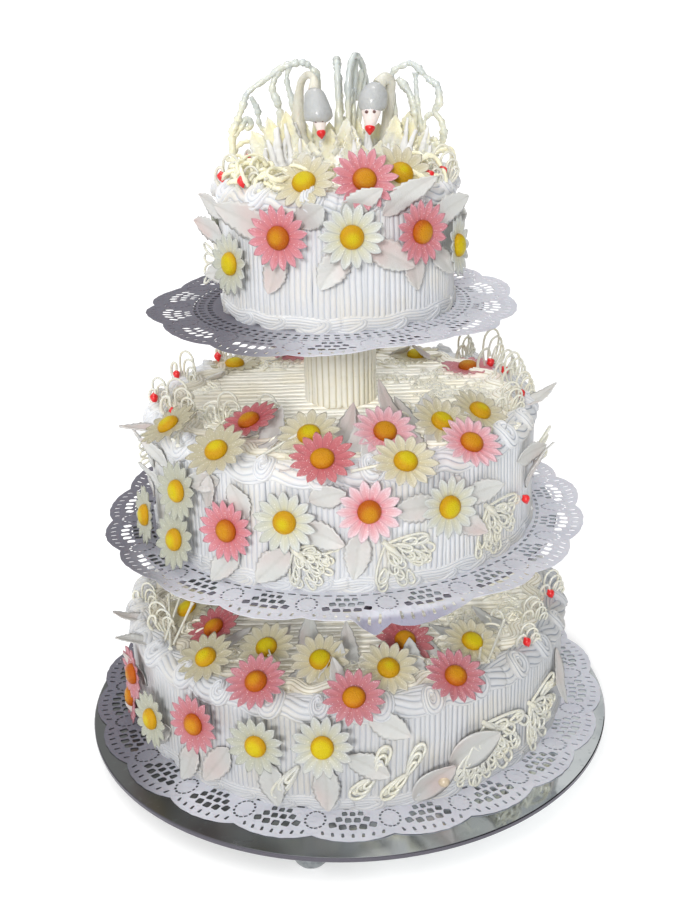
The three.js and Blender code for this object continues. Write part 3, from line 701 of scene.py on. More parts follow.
def daisy_tree(name, petals, dome):
    """A pressed daisy that faces +Z: petals joined to two thirds of their length, and a dome."""
    g = ShapeTree(name, {"Radius": 27.0, "Petals": 14, "Valley": 18.8, "Tip": 2.2, "Cup": 1.4,
                         "Petal thickness": 1.3, "Dome radius": 9.8, "Dome height": 5.6,
                         "Dome base": 1.1, "Seed": 1})
    seed = g["Seed"]
    face, back = 9, 7            # rows over the face and the back
    flower = g.sheet(g["Petals"] * 10 + 1.1, face + back + 1)
    u, v, _ = g.split(g.position())
    row = v * (face + back)
    share = g.least(row / face, (face + back - row) / back)
    share = g.most(share, 0) ** 0.6
    behind = row > face + 0.5
    petal = g.math("FLOOR", u * g["Petals"] + 0.5)
    petal = g.math("MODULO", petal, g["Petals"])
    seam = g.abs(g.math("FRACT", u * g["Petals"] + 0.5) - 0.5) * 2
    own = g.noise(g.vector(petal * 3.7, seed * 2.3, 0), 1.0, 1.0)
    length = (g["Radius"] - g["Valley"]) * (1 + own * 0.35)
    edge = g["Valley"] + length * g.most(1 - seam, 0) ** 0.66
    radius = share * edge
    azimuth = u * math.tau + g.sin(share * 3) * own * 0.08
    crease = g.smooth(seam, 0.2, 0.0) + g.smooth(g.abs(seam - 0.5), 0.18, 0.0)
    bulge = (1 - seam ** 6) * 0.6 * share - crease * 0.3 * share
    bent = g.noise(g.vector(petal * 5.1, seed * 1.7, 4.0), 1.0, 1.0) * 3.2 * g["Cup"] * share ** 4
    level = g["Tip"] * share ** 2 + bulge + bent - 0.6 - behind * g["Petal thickness"]
    flower = g.keep(g.keep(flower, "reach", share), "seam", seam * (1 - behind))
    flower = g.keep(flower, "part", 0.0)
    flower = g.welded(g.moved(flower, ring_place(g, azimuth, radius, level)))

    ball = g.sheet(37, 15)
    bu, bv, _ = g.split(g.position())
    slope = bv * math.pi
    grain = g.noise(g.vector(g.sin(bu * math.tau) * g.sin(slope), g.cos(bu * math.tau)
                             * g.sin(slope), g.cos(slope) + seed * 7.0), 9.0, 2.0)
    high = g.most(g.cos(slope), -0.25)
    ball = g.keep(ball, "reach", g.sin(slope))
    ball = g.keep(ball, "part", 1.0)
    wide = g["Dome radius"] * g.sin(slope) ** 0.85 + grain * 0.5
    tall = g["Dome base"] + (g["Dome height"] + grain * 0.8) * high
    ball = g.welded(g.moved(ball, ring_place(g, bu * math.tau, wide * g.sin(slope) ** 0.02, tall)))
    return g.ends(g.get("GeometryNodeJoinGeometry", {"Geometry": [flower, ball]}), petals, dome)


def flower_place(node):
    """Where a daisy's solid stands: a matrix that takes +Z to its face, in metres."""
    points = np.unique(points_of(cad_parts[node].data).round(6), axis=0)
    middle = points.mean(axis=0)
    axis = np.linalg.svd(points - middle)[2][2]
    along = (points - middle) @ axis
    if abs(along.min()) < along.max():       # the pick is the far end, and it points backwards
        axis, along = -axis, -along
    out = points - middle - np.outer(along, axis)
    reach = np.linalg.norm(out, axis=1)
    tips = np.flatnonzero(reach > (DAISY_RADIUS - 1) * MM)
    centre = middle + axis * (along[tips].mean() - PETAL_TIP * MM)
    y = -out[tips[0]] / reach[tips[0]]
    x = np.cross(y, axis)
    return Matrix([[*map(float, row), float(c)] for row, c in
                   zip(np.stack([x, y, axis], axis=1), centre)] + [[0, 0, 0, 1]])


PETAL_COUNT = {"white": 14, "pale": 14, "pink": 16, "rose": 15}
LIGHTER = ("daisy_middle_6_pink", "daisy_middle_9_pink")
daisies = {kind: daisy_tree(f"{kind} daisy", finish,
                            LEMON_DOME if kind in ("white", "cream") else ORANGE_DOME)
           for kind, finish in PETALS_OF.items()}
flower_nodes = sorted(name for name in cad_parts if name.startswith("daisy_"))
for number, node in enumerate(flower_nodes):
    kind = node.rsplit("_", 1)[1]
    place = flower_place(node)
    look = "light" if node in LIGHTER else kind
    if kind == "white" and place[2][2] > 0.6:        # it faces upwards
        look = "cream"
    mesh = grow(daisies[look], {"Radius": float(DAISY_RADIUS), "Petals": PETAL_COUNT[kind],
                                "Seed": number})
    mesh.transform(place @ Matrix.Scale(MM, 4))
    mesh.transform(Matrix.Scale(1 / MM, 4))
    piece("sugar_" + node, mesh, "petals_" + kind, [node], centre_y=0)


# ---- Sugar leaves ----
def leaf_finish():
    f = Finish("sugar leaf")
    tone = f.mixed(f.smooth(f.noise(f.object, 20, 2), -0.1, 0.3), tint(198, 199, 196),
                   tint(198, 178, 174))
    tone = f.mixed(f.smooth(f.attribute("vein"), 0.3, 1.0) * 0.25, tone, tint(170, 168, 160))
    tone = f.mixed(f.smooth(f.attribute("reach"), 0.65, 0.95) * 0.5, tone, tint(212, 212, 209))
    tone = f.mixed(f.smooth(f.attribute("reach"), 0.95, 1.0) * 0.3, tone, tint(170, 158, 144))
    _, _, up = f.split(f.object)
    # painted shade: the leaves are a little darker at the foot of the cake
    tone = f.mixed(f.smooth(up, 0.22, 0.12) * 0.1, tone, (0, 0, 0, 1))
    grain = f.noise(f.object, 1100, 2) + f.noise(f.object, 240) * 0.6
    return f.ends(Base_Color=tone, Roughness=0.42, Normal=f.bumps(grain, 0.25),
                  Subsurface_Weight=0.15, Subsurface_Radius=(1.0, 0.8, 0.6),
                  Subsurface_Scale=0.003, Coat_Weight=0.12, Coat_Roughness=0.3)


LEAF_SUGAR = leaf_finish()


def leaf_tree(name, finish):
    """A sugar leaf along +X: pointed, creased along its rib, its edges toothed and waving."""
    g = ShapeTree(name, {"Length": 40.0, "Half width": 12.0, "Lift": 8.0, "Wave": 1.4,
                         "Cup": 1.6, "Teeth": 8.0, "Tooth": 0.2, "Thickness": 1.3, "Seed": 1})
    seed = g["Seed"]
    half = 8                     # columns over one face
    leaf = g.sheet(half * 2 + 1, 29)
    u, v, _ = g.split(g.position())
    column = u * half * 2
    across = 1 - g.abs(column - half) / (half / 2)
    under = column > half + 0.5
    full = g.most(v, 0) ** 0.75 * g.most(1 - v, 0) ** 0.85 / 0.355
    tooth = g.math("FRACT", v * g["Teeth"] + seed * 0.37)
    wide = g["Half width"] * full * (1 - tooth * g["Tooth"])
    skew = g.noise(g.vector(v * 1.5, seed * 3.1, 0), 1.0, 1.0) * 5
    x = v * g["Length"]
    y = across * wide + skew * v
    wave = g.sin(v * 7 + seed * 1.9 + across * 1.2) * g["Wave"] * across * full
    rib = g.smooth(g.abs(across), 0.3, 0.0)
    side_vein = g.abs(g.sin((v * 7 + g.abs(across) * -1.4) * math.pi)) ** 6
    rise = g["Lift"] * v ** 2 + g["Cup"] * across ** 2 * full + wave - rib * 0.8
    rise = rise + side_vein * 0.25 - under * g["Thickness"] * (1 - across ** 6) + 0.8
    leaf = g.keep(leaf, "vein", g.most(rib, side_vein * 0.6))
    leaf = g.keep(leaf, "reach", g.abs(across))
    leaf = g.moved(leaf, g.vector(x, y, rise))
    return g.ends(g.welded(leaf), finish)


def around(azimuth, radius, level):
    """Points at azimuths in radians from the front."""
    return np.stack([radius * np.sin(azimuth), -radius * np.cos(azimuth), level], axis=1)


def turned(points, direction):
    turn = math.radians(direction)
    x, y, off = points.T
    return x * math.cos(turn) - y * math.sin(turn), x * math.sin(turn) + y * math.cos(turn), off


PIPING = 2.6                     # how far the piping stands off a wall


def on_wall(tier, azimuth, height, direction=0.0):
    """Places points on a wall: x along the direction (0 right, 90 up), z away from the wall."""
    def place(points):
        across, up, off = turned(points, direction)
        angle = math.radians(azimuth) + across / tier["wall"]
        return around(angle, tier["wall"] + PIPING + off, height + up)
    return place


def on_top(tier, azimuth, radius, direction=0.0):
    """Places points on a top face: x along the direction (0 right, 90 inwards), z up."""
    def place(points):
        across, inwards, off = turned(points, direction)
        a = math.radians(azimuth)
        x, y = across, inwards - radius
        return np.stack([x * math.cos(a) - y * math.sin(a), x * math.sin(a) + y * math.cos(a),
                         tier["height"] + off], axis=1)
    return place


# On the walls: azimuth, height, direction (0 = right, 90 = up), lift, length, half width.
WALL_LEAVES = {
    "top": [
        (-31, 80, 156, 15, 50, 15), (-70, 66, 165, 20, 36, 11), (-66, 86, 150, 14, 30, 10),
        (-26, 68, 255, 5, 38, 11), (-17, 88, 40, 12, 28, 12), (4, 72, 240, 6, 40, 12),
        (2, 96, 38, 16, 36, 10), (21, 94, 42, 20, 46, 11), (12, 74, -30, 7, 46, 12),
        (36, 64, 272, 6, 34, 10), (47, 82, 22, 15, 42, 13), (50, 60, -50, 8, 30, 10),
        (-60, 44, 200, 14, 32, 10), (115, 66, 170, 10, 44, 12), (168, 78, 30, 12, 44, 12),
        (158, 56, 240, 8, 40, 12), (201, 74, 150, 10, 42, 12), (212, 56, -50, 8, 40, 12),
        (247, 74, 140, 12, 40, 12)],
    "middle": [
        (-62, 50, 120, 16, 34, 10), (-58, 82, 150, 12, 36, 10), (-35, 90, 192, 8, 32, 10),
        (-27, 60, 106, 6, 34, 11), (-30, 36, 238, 10, 42, 11), (-40, 62, 75, 5, 34, 8),
        (-15, 38, 228, 7, 40, 13), (-13, 60, -18, 7, 42, 12), (-9, 82, 25, 12, 32, 11),
        (4, 56, 262, 6, 42, 11), (13, 70, 2, 8, 40, 13), (33, 68, 8, 9, 40, 11),
        (30, 56, -34, 8, 38, 10), (27, 60, 75, 8, 36, 10), (-84, 22, 150, 8, 30, 10),
        (66, 44, 82, 22, 44, 11), (58, 78, 8, 14, 34, 10), (-72, 66, 110, 14, 36, 10),
        (111, 76, 30, 10, 44, 12), (104, 56, 230, 8, 40, 12), (134, 44, -40, 8, 40, 12),
        (148, 76, 150, 10, 42, 12), (170, 36, 250, 8, 34, 12), (197, 74, 30, 10, 44, 12),
        (208, 66, 140, 9, 40, 12), (237, 70, 25, 10, 42, 12), (229, 50, 250, 8, 38, 12)],
    "bottom": [
        (-66, 22, 190, 12, 34, 10), (-62, 60, 140, 12, 36, 10), (-41, 36, 255, 8, 38, 12),
        (-50, 38, 215, 8, 36, 11), (-30, 48, 238, 7, 44, 12), (-20, 44, 285, 5, 42, 12),
        (-6, 46, 272, 6, 42, 12), (-1, 56, -28, 6, 40, 12), (4, 94, -28, 9, 38, 12),
        (66, 80, 262, 14, 52, 12), (111, 64, 24, 10, 46, 12), (103, 46, 240, 8, 40, 12),
        (132, 56, -40, 8, 44, 12), (150, 70, 150, 10, 44, 12), (167, 40, 220, 8, 40, 12),
        (191, 70, 30, 10, 46, 12), (209, 72, 150, 10, 42, 12), (217, 54, -60, 8, 42, 12),
        (232, 50, 210, 8, 42, 12), (240, 66, 30, 10, 42, 12)],
}
# On the top faces: azimuth, radius, direction (0 = right, 90 = inwards), lift, length, half width.
TOP_LEAVES = {
    "top": [(40, 80, 60, 26, 36, 10)],
    "middle": [
        (-66, 160, 265, 10, 48, 10), (78, 160, 300, 18, 40, 10), (-2, 132, 45, 14, 36, 11),
        (-3, 124, 62, 30, 34, 9), (26, 128, 95, 44, 46, 10), (4, 172, 85, 22, 40, 12),
        (24, 168, 95, 20, 36, 10), (-17, 176, 30, 8, 32, 9), (-44, 132, 70, 16, 34, 10),
        (60, 118, 140, 14, 36, 11), (44, 104, 40, 18, 34, 10), (3, 119, 80, 26, 34, 9),
        (38.8, 113, 100, 24, 34, 10), (28, 167, 70, 20, 34, 9), (-30.6, 132, 95, 24, 36, 10),
        (-32, 159, 40, 16, 36, 10), (9, 184, 100, 18, 34, 9), (45.4, 178, 85, 20, 36, 10),
        (133, 150, 40, 18, 38, 10), (160, 150, 140, 16, 36, 10), (186, 152, 50, 18, 38, 10),
        (212, 150, 120, 16, 36, 10), (240, 152, 60, 16, 38, 10)],
    "bottom": [
        (-64, 196, 260, 10, 36, 9), (-76, 190, 265, 12, 36, 9), (-17, 180, 60, 14, 36, 11),
        (-12, 168, 75, 26, 38, 10), (17, 190, 75, 24, 46, 12), (33, 190, 60, 14, 38, 10),
        (-50, 160, 60, 16, 36, 10), (48, 150, 130, 16, 38, 11), (60, 176, 100, 20, 40, 11),
        (-15.7, 176, 40, 18, 36, 10), (-6.5, 176, 70, 26, 34, 9), (1.2, 148, 95, 28, 38, 9),
        (20, 187, 120, 22, 36, 9), (-17.3, 128, 100, 26, 36, 9), (-9.2, 202, 20, 12, 32, 10),
        (-1.1, 190, 110, 22, 30, 8), (20.2, 134, 80, 26, 38, 9), (31, 160, 100, 20, 36, 9),
        (-30, 150, 80, 22, 36, 9), (119, 184, 60, 18, 38, 10), (141, 186, 130, 18, 38, 10),
        (164, 186, 50, 18, 38, 10), (188, 186, 130, 18, 38, 10), (211, 186, 60, 18, 38, 10),
        (234, 186, 120, 18, 38, 10)],
}
# Smooth broad leaves without teeth, at the foot on the right.
SMOOTH_LEAVES = [(23.5, 32, 26, 10, 50, 17), (14.5, 4, 50, 14, 48, 13)]
LEAF_FULLNESS = 1.18             # the half widths above are a little slimmer than the leaves
sugar_leaf = leaf_tree("sugar leaf", LEAF_SUGAR)


def leaf(on, tier, shape, seed, **more):
    azimuth, across, direction, lift, length, half = shape
    sizes = {"Length": float(length), "Lift": float(lift), "Half width": half * LEAF_FULLNESS,
             "Seed": seed}
    return reshape(grow(sugar_leaf, sizes | more), on(tier, azimuth, across, direction))


for name, tier in TIERS.items():
    leaves = [leaf(on_wall, tier, shape, 3 + k) for k, shape in enumerate(WALL_LEAVES[name])]
    leaves += [leaf(on_top, tier, shape, 31 + k) for k, shape in enumerate(TOP_LEAVES[name])]
    if name == "bottom":
        leaves += [leaf(on_wall, tier, shape, 61 + k, Tooth=0.0, Wave=0.3, Cup=3.0)
                   for k, shape in enumerate(SMOOTH_LEAVES)]
    piece("leaves_" + name, gather(leaves), "lace_sugar", level=tier["base"])


# Daisies at the back, pressed on: kind, azimuth and height on a wall or radius on a top face.
BACK_WALL_DAISIES = {
    "top": [("pink", 122, 62), ("white", 163, 66), ("pink", 206, 62), ("white", 250, 60)],
    "middle": [("white", 107, 66), ("pink", 130, 52), ("pale", 153, 68), ("white", 174, 46),
               ("white", 192, 66), ("rose", 212, 56), ("white", 233, 62)],
    "bottom": [("white", 107, 56), ("pink", 128, 62), ("white", 154, 60), ("rose", 171, 48),
               ("white", 187, 62), ("pink", 213, 64), ("white", 236, 58)]}
BACK_TOP_DAISIES = {
    "top": [],
    "middle": [("pink", 120, 144), ("white", 146, 138), ("white", 172, 146), ("pink", 199, 140),
               ("white", 226, 146)],
    "bottom": [("white", 108, 174), ("pink", 130, 182), ("white", 152, 176), ("rose", 176, 182),
               ("white", 199, 176), ("pink", 223, 182), ("white", 246, 176)]}
ON_PIPING = np.array([0, 0, 5.0])        # off the wall or the top face


def pressed_on(on, tier, kind, look, azimuth, across, seed):
    sizes = {"Radius": float(DAISY_RADIUS), "Petals": PETAL_COUNT[kind], "Seed": seed}
    place = on(tier, azimuth, across)
    return reshape(grow(daisies[look], sizes), lambda points: place(points + ON_PIPING))


for name, tier in TIERS.items():
    by_look = {}
    for on, table in ((on_wall, BACK_WALL_DAISIES), (on_top, BACK_TOP_DAISIES)):
        for kind, azimuth, across in table[name]:
            look = "cream" if kind == "white" and on is on_top else kind
            flower = pressed_on(on, tier, kind, look, azimuth, across, 50 + len(by_look))
            by_look.setdefault((kind, look), []).append(flower)
    for (kind, look), flowers in by_look.items():
        piece(f"sugar_daisies_back_{name}_{look}", gather(flowers), "petals_" + kind,
              level=tier["base"])


# ---- Sugar ropes: lace, wings, swans ----
def rope_tree(name, finish, sides):
    """Round ropes along courses of points, as thick as each point says, with a lumpy skin."""
    g = ShapeTree(name, {"Lumps": 0.2, "Lump size": 3.0}, takes_mesh=True)
    course = g.get("GeometryNodeMeshToCurve", {"Mesh": Field(g, g.given.outputs["Geometry"])})
    lump = g.noise(g.position(), 1 / g["Lump size"], 1.0) * g["Lumps"] * 2
    thick = g.named("thick") * (1 + lump)
    profile = g.get("GeometryNodeCurvePrimitiveCircle", {"Resolution": sides, "Radius": 1.0})
    inputs = {"Curve": course, "Profile Curve": profile, "Scale": thick, "Fill Caps": True}
    rope = g.get("GeometryNodeCurveToMesh", inputs)
    skin = g.noise(g.position(), 1.7 / g["Lump size"], 2.0) * g["Lumps"]
    normal = g.get("GeometryNodeInputNormal")
    shift = g.get("ShaderNodeVectorMath", {"Vector": normal, "Scale": skin * g.named("thick")},
                  operation="SCALE")
    rope = g.get("GeometryNodeSetPosition", {"Geometry": rope, "Offset": shift})
    return g.ends(rope, finish)


def curved(points, steps=6, closed=False):
    """A smooth course through a few points, each with its own thickness as a fourth number."""
    points = np.asarray(points, float)
    count = len(points)
    if closed:
        held = np.concatenate([points[-1:], points, points[:2]])
    else:
        held = np.concatenate([2 * points[:1] - points[1:2], points,
                               2 * points[-1:] - points[-2:-1]])
        held[[0, -1], 3:] = held[[1, -2], 3:]
    t = np.linspace(0, 1, steps, endpoint=False)[:, None]
    course = []
    for k in range(count if closed else count - 1):
        a, b, c, d = held[k:k + 4]
        course.append(0.5 * (2 * b + (c - a) * t + (2 * a - 5 * b + 4 * c - d) * t ** 2
                             + (3 * b - a - 3 * c + d) * t ** 3))
    if not closed:
        course.append(points[-1:])
    return np.concatenate(course)


def courses_mesh(courses):
    """Courses as edges; each is an array of x, y, z, thickness and whether it closes."""
    points, edges = [], []
    for course, closed in courses:
        start = len(points)
        points.extend(course.tolist())
        last = len(points) - 1
        edges.extend((k, k + 1) for k in range(start, last))
        if closed:
            edges.append((last, start))
    mesh = bpy.data.meshes.new("courses")
    mesh.from_pydata([p[:3] for p in points], edges, [])
    thick = mesh.attributes.new("thick", "FLOAT", "POINT")
    thick.data.foreach_set("value", [max(p[3], 0.05) for p in points])
    return mesh


def sugar_finish(name, body, shade, glow, rough=0.28, warm=0.5, glitter_glint=0.3, clear=0.25,
                 warm_below=None):
    """Glossy set sugar, a little see-through, warmer in patches and with fine glittering flecks
    painted white as glints.
    """
    f = Finish(name)
    patch = f.smooth(f.noise(f.object, 38, 3), -0.12, 0.24) * warm
    if warm_below:               # ivory at the foot, silver towards the top, in metres
        _, _, up = f.split(f.object)
        patch = f.clamp(patch * 0.7 + f.smooth(up + f.noise(f.object, 20) * 0.06, warm_below,
                                               warm_below - 0.05))
    tone = f.mixed(patch, body, glow)
    tone = f.mixed(f.smooth(f.noise(f.object, 90, 2), 0.0, 0.3) * 0.5, tone, shade)
    # painted glints: white flecks of glitter in the colour
    glint_fleck = f.smooth(f.cells(520), 0.2, 0.02)
    tone = f.mixed(glint_fleck * glitter_glint, tone, (1, 1, 1, 1))
    grain = f.noise(f.object, 700, 2) + f.noise(f.object, 170) * 1.2
    return f.ends(Base_Color=tone, Roughness=f.noise(f.object, 150) * 0.2 + rough,
                  Normal=f.bumps(grain, 0.5), Subsurface_Weight=clear,
                  Subsurface_Radius=(1.0, 0.85, 0.55), Subsurface_Scale=0.006,
                  Coat_Weight=0.3, Coat_Roughness=0.12)


def plain_finish(name, tone, rough=0.35, coat=0.3):
    f = Finish(name)
    speck = f.noise(f.object, 300, 2)
    paler = tuple(min(1, c * 1.25 + 0.02) for c in tone[:3]) + (1,)
    return f.ends(Base_Color=f.mixed(f.smooth(speck, -0.2, 0.3), tone, paler), Roughness=rough,
                  Normal=f.bumps(f.noise(f.object, 800), 0.15), Coat_Weight=coat,
                  Coat_Roughness=0.15)


LACE_SUGAR = sugar_finish("sugar lace", tint(214, 213, 202), tint(200, 200, 190),
                          tint(222, 215, 188))
# The same sugar lace in a lighter copy for the top faces: the lighter tone is painted light
LIT_LACE_SUGAR = sugar_finish("sugar lace on the tops", tint(238, 235, 220), tint(228, 222, 202),
                               tint(242, 233, 204))
WING_SUGAR = sugar_finish("wing ropes", tint(198, 204, 202), tint(160, 172, 174),
                          tint(236, 231, 202), rough=0.18, warm=0.7, glitter_glint=0.35,
                          warm_below=0.6)
FEATHER_SUGAR = sugar_finish("glittering feathers", tint(236, 234, 218), tint(214, 210, 190),
                             tint(244, 232, 184), rough=0.2, warm=0.85, glitter_glint=0.8, clear=0.5)
SWAN_SUGAR = sugar_finish("swan sugar", tint(178, 180, 180), tint(160, 163, 165),
                          tint(188, 186, 184), rough=0.42, warm=0.4, glitter_glint=0.05, clear=0.2)
NECK_SUGAR = sugar_finish("ivory sugar", tint(208, 206, 194), tint(186, 182, 164),
                          tint(222, 217, 200), rough=0.3, warm=0.5, glitter_glint=0.2, clear=0.3)
FACE_SUGAR = sugar_finish("swan face", tint(240, 228, 224), tint(232, 214, 212),
                          tint(246, 236, 226), rough=0.45, warm=0.4, glitter_glint=0.05, clear=0.2)
RED_SUGAR = plain_finish("red sugar", tint(212, 18, 24))
EYE_SUGAR = plain_finish("brown eye", tint(96, 58, 52))
PEARL_SUGAR = plain_finish("sugar pearl", tint(190, 174, 150), rough=0.3, coat=0.4)

lace_ropes = rope_tree("sugar lace", LACE_SUGAR, 6)
lit_lace_ropes = rope_tree("sugar lace on the tops", LIT_LACE_SUGAR, 6)
wing_ropes = rope_tree("wing ropes", WING_SUGAR, 9)
swan_forms = rope_tree("swan forms", SWAN_SUGAR, 28)
neck_forms = rope_tree("swan necks", NECK_SUGAR, 24)
face_forms = rope_tree("swan faces", FACE_SUGAR, 24)
red_forms = rope_tree("red marks", RED_SUGAR, 12)
eye_forms = rope_tree("eyes", EYE_SUGAR, 12)
pearl_form = rope_tree("pearl", PEARL_SUGAR, 20)


LOOP_POINTS = 8


def loop(length, width, strand, lean, root, out):
    """Teardrop loop in a plane: x across, y up from its root, z off the surface."""
    turn = math.radians(lean)
    shape = []
    for k in range(LOOP_POINTS):
        a = math.tau * k / LOOP_POINTS
        share = 0.5 - 0.5 * math.cos(a)
        x = math.sin(a) * width / 2 * (0.35 + 0.65 * share)
        y = share * length
        shape.append((root[0] + x * math.cos(turn) + y * math.sin(turn),
                      root[1] + y * math.cos(turn) - x * math.sin(turn),
                      out * share ** 0.8 + strand * 0.4, strand))
    return curved(shape, 3, True), True


def placed(courses, place):
    """Courses moved through a place function, their thickness kept."""
    return [(np.column_stack([place(course[:, :3]), course[:, 3]]), closed)
            for course, closed in courses]


def bead(centre, radius, steps=10):
    """A ball as a short course."""
    turns = np.linspace(0, math.pi, steps)
    level = centre[2] - radius * np.cos(turns)
    x, y = np.full(steps, float(centre[0])), np.full(steps, float(centre[1]))
    return np.column_stack([x, y, level, radius * np.sin(turns)]), False


# On the walls: azimuth and height of the middle of each fan of loops, its turn and its size.
WALL_LACE = {
    "top": [(-80, 46, 10, 0.9), (-70, 26, -60, 0.7)],
    "middle": [(-9.5, 24, 0, 0.95), (15.5, 25, 0, 1.1), (48, 34, 15, 1.2), (150, 30, 0, 1.0),
               (-140, 30, 0, 1.0)],
    "bottom": [(39, 38, 20, 1.45), (34, 26, 30, 1.0), (55, 32, 0, 1.35), (-150, 30, -10, 1.0),
               (130, 30, 0, 1.1)],
}
# Long drops of lace on the bottom wall: azimuth, height, and each drop's turn, length, width.
WALL_DROPS = [(-12.2, 43.5, [(215, 40, 14)]), (5.5, 34, [(18, 32, 15), (228, 28, 17)]),
              (13, 32, [(24, 32, 14), (228, 30, 15)]), (-170, 40, [(20, 32, 15), (228, 28, 16)])]
# Fans that lie on the top faces: azimuth, radius, turn and size.
TOP_LACE = {
    "top": [],
    "middle": [(-50, 122, 60, 1.0), (-30, 76, 20, 0.8), (46, 112, -60, 1.0), (66, 134, 30, 0.9),
               (134, 76, 0, 0.8), (116, 82, 40, 0.8), (100, 94, 0, 0.9), (84, 98, -30, 0.8),
               (122, 112, 20, 0.9), (102, 126, 50, 0.9), (86, 130, 10, 0.9), (72, 150, -20, 1.0),
               (62, 152, 60, 1.0), (20, 74, 0, 0.7), (150, 120, 0, 1.0), (-140, 120, 60, 1.0),
               (-75, 130, 10, 0.9), (-100, 132, 60, 0.9)],
    "bottom": [(-60, 148, 60, 1.0), (-36, 150, 0, 0.8), (56, 140, -40, 1.1), (70, 168, 20, 1.0),
               (62, 160, 70, 1.0), (82, 150, 0, 1.0), (48, 156, 20, 0.9), (-80, 160, 30, 1.0),
               (-4, 140, 40, 0.9), (30, 140, 10, 0.8), (150, 140, 0, 1.1), (-140, 150, 60, 1.0)],
}
# Small swans of lace along the rims: azimuth, distance inside the wall, size, red mark or not.
RIM_LACE = {
    "top": [(-70, 8, 1.0, 1), (-50, 10, 0.8, 1), (58, 8, 0.9, 1), (72, 6, 1.1, 1),
            (180, 10, 1.0, 1), (130, 10, 1.0, 0), (-130, 10, 1.0, 1)],
    "middle": [(-72, 26, 1.4, 1), (-88, 12, 1.0, 1), (-112, 14, 1.2, 1), (-135, 14, 1.0, 1),
               (-58, 54, 1.2, 0), (-46, 90, 1.0, 0), (70, 20, 1.1, 0), (84, 12, 1.0, 1),
               (99, 12, 1.2, 0), (108, 12, 1.0, 1), (118, 12, 1.45, 1), (131, 12, 1.1, 0),
               (180, 14, 1.0, 1)],
    "bottom": [(82, 12, 1.1, 1), (54, 10, 0.9, 1), (66, 20, 1.1, 0), (-66, 24, 1.2, 0),
               (-84, 14, 1.0, 0), (150, 12, 1.0, 1), (-150, 12, 1.0, 1), (180, 12, 1.0, 0)],
}
LACE_STRAND = 1.1
LACE_LUMPS = {"Lumps": 0.16, "Lump size": 3.5}
# A red mark beside a neck, and the azimuth and height of one more on a wall.
MARK = [(curved([(-6, 14.5, 6, 0.8), (-4.6, 11.8, 7.5, 3.7), (-3.6, 8.6, 8, 3.1),
                 (-2.6, 5.6, 8.5, 0.6)], 4), False)]
WALL_MARKS = {"middle": [(60, 33)]}
FAN_START, FAN_SPREAD = 80, 110  # degrees from upright
FAN_ROWS = ((6, 3), (13, 4), (20, 5), (27, 6))   # distance from the root, loops in the row


def lace_fan(seed, lean, size):
    """Rows of small loops that overlap and fall to the right of one root."""
    random = np.random.default_rng(seed)
    root = np.array([-13.0, 15.0]) * size
    strand = LACE_STRAND * (0.55 + 0.5 * size)
    loops = []
    for k in (0, 2, 5):          # three long loops under the small ones
        spread = lean + FAN_START + k * 21 + random.uniform(-6, 6)
        loops.append(loop(size * random.uniform(30, 36), size * random.uniform(11, 14),
                          strand, spread, root, 2.4))
    for row, count in FAN_ROWS:
        for k in range(count):
            spread = (lean + FAN_START + (k + 0.5) * FAN_SPREAD / count
                      + random.uniform(-7, 7))
            ray = size * row + random.uniform(-2, 2)
            foot = root + ray * np.array([math.sin(math.radians(spread)),
                                          math.cos(math.radians(spread))])
            loops.append(loop(size * random.uniform(10, 13), size * random.uniform(7, 9),
                              strand, spread + random.uniform(-30, 30), foot,
                              3.4 - row * 0.05))
    stem = curved([(root[0] - 3, root[1] + 3, 0.4, 2.4), (root[0] + 2, root[1] - 2, 1.2, 3.2),
                   (root[0] + 8, root[1] - 8, 1.6, 2.4), (root[0] + 14, root[1] - 15, 2, 1.2)], 5)
    return loops + [(stem, False)]


def lace_drops(drops):
    """Long ovals one inside the other, over a film of sugar; they share one joint."""
    courses = []
    for lean, length, width in drops:
        courses += [loop(length * (1 - 0.27 * k), width * (1 - 0.3 * k), 1.5, lean, (0, 0),
                         2.0 + 0.6 * k) for k in range(3)]
        a = math.radians(lean)
        film = [(math.sin(a) * length * t, math.cos(a) * length * t, -width * r + 1.4, width * r)
                for t, r in ((0.05, 0.12), (0.35, 0.3), (0.65, 0.4), (0.95, 0.2))]
        courses.append((curved(film, 5), False))
    return courses


BACK_FROM = 140                  # beyond this azimuth, what stands on a rim faces outwards
FRONT_TURN = 0.35                # in front of it, it turns by this share of its azimuth


def rim_place_of(tier, azimuth, inset):
    """Upright places on a rim: x mostly sideways, y up, z mostly to the front."""
    def place(points):
        a = math.radians(azimuth)
        facing = a if abs(azimuth) > BACK_FROM else a * FRONT_TURN
        x, y, off = points.T
        radius = tier["wall"] - inset
        return np.stack([radius * math.sin(a) + x * math.cos(facing) + off * math.sin(facing),
                         -radius * math.cos(a) + x * math.sin(facing) - off * math.cos(facing),
                         tier["height"] + y], axis=1)
    return place


def rim_swan(seed, size):
    """Nested arches and a hooked neck, standing up."""
    random = np.random.default_rng(seed)
    lean = random.uniform(-14, 14)
    arches = [loop(size * (30 - 5.5 * k), size * (21 - 4 * k), LACE_STRAND, lean + 7 * k,
                   (2 * k * size, -2), 1 + k) for k in range(4)]
    neck = np.array([(-9, 0, 2, 1.7), (-13, 8, 3, 1.6), (-10, 16, 4, 1.4), (-5, 17, 5, 1.3),
                     (-4, 12, 6, 1.5)])
    neck[:, :3] *= size
    return arches + [(curved(neck, 5), False)]


def stick(tier, start, end, thick):
    """A straight stamen over a top face, thicker at its tips."""
    ends = [(r * math.sin(math.radians(a)), -r * math.cos(math.radians(a)), tier["height"] + h)
            for a, r, h in (start, end)]
    low, high = (np.array(p) for p in ends)
    return np.array([[*(low + (high - low) * t), thick * (1.6 if t in (0, 1) else 1)]
                     for t in (0, 0.06, 0.5, 0.94, 1)]), False


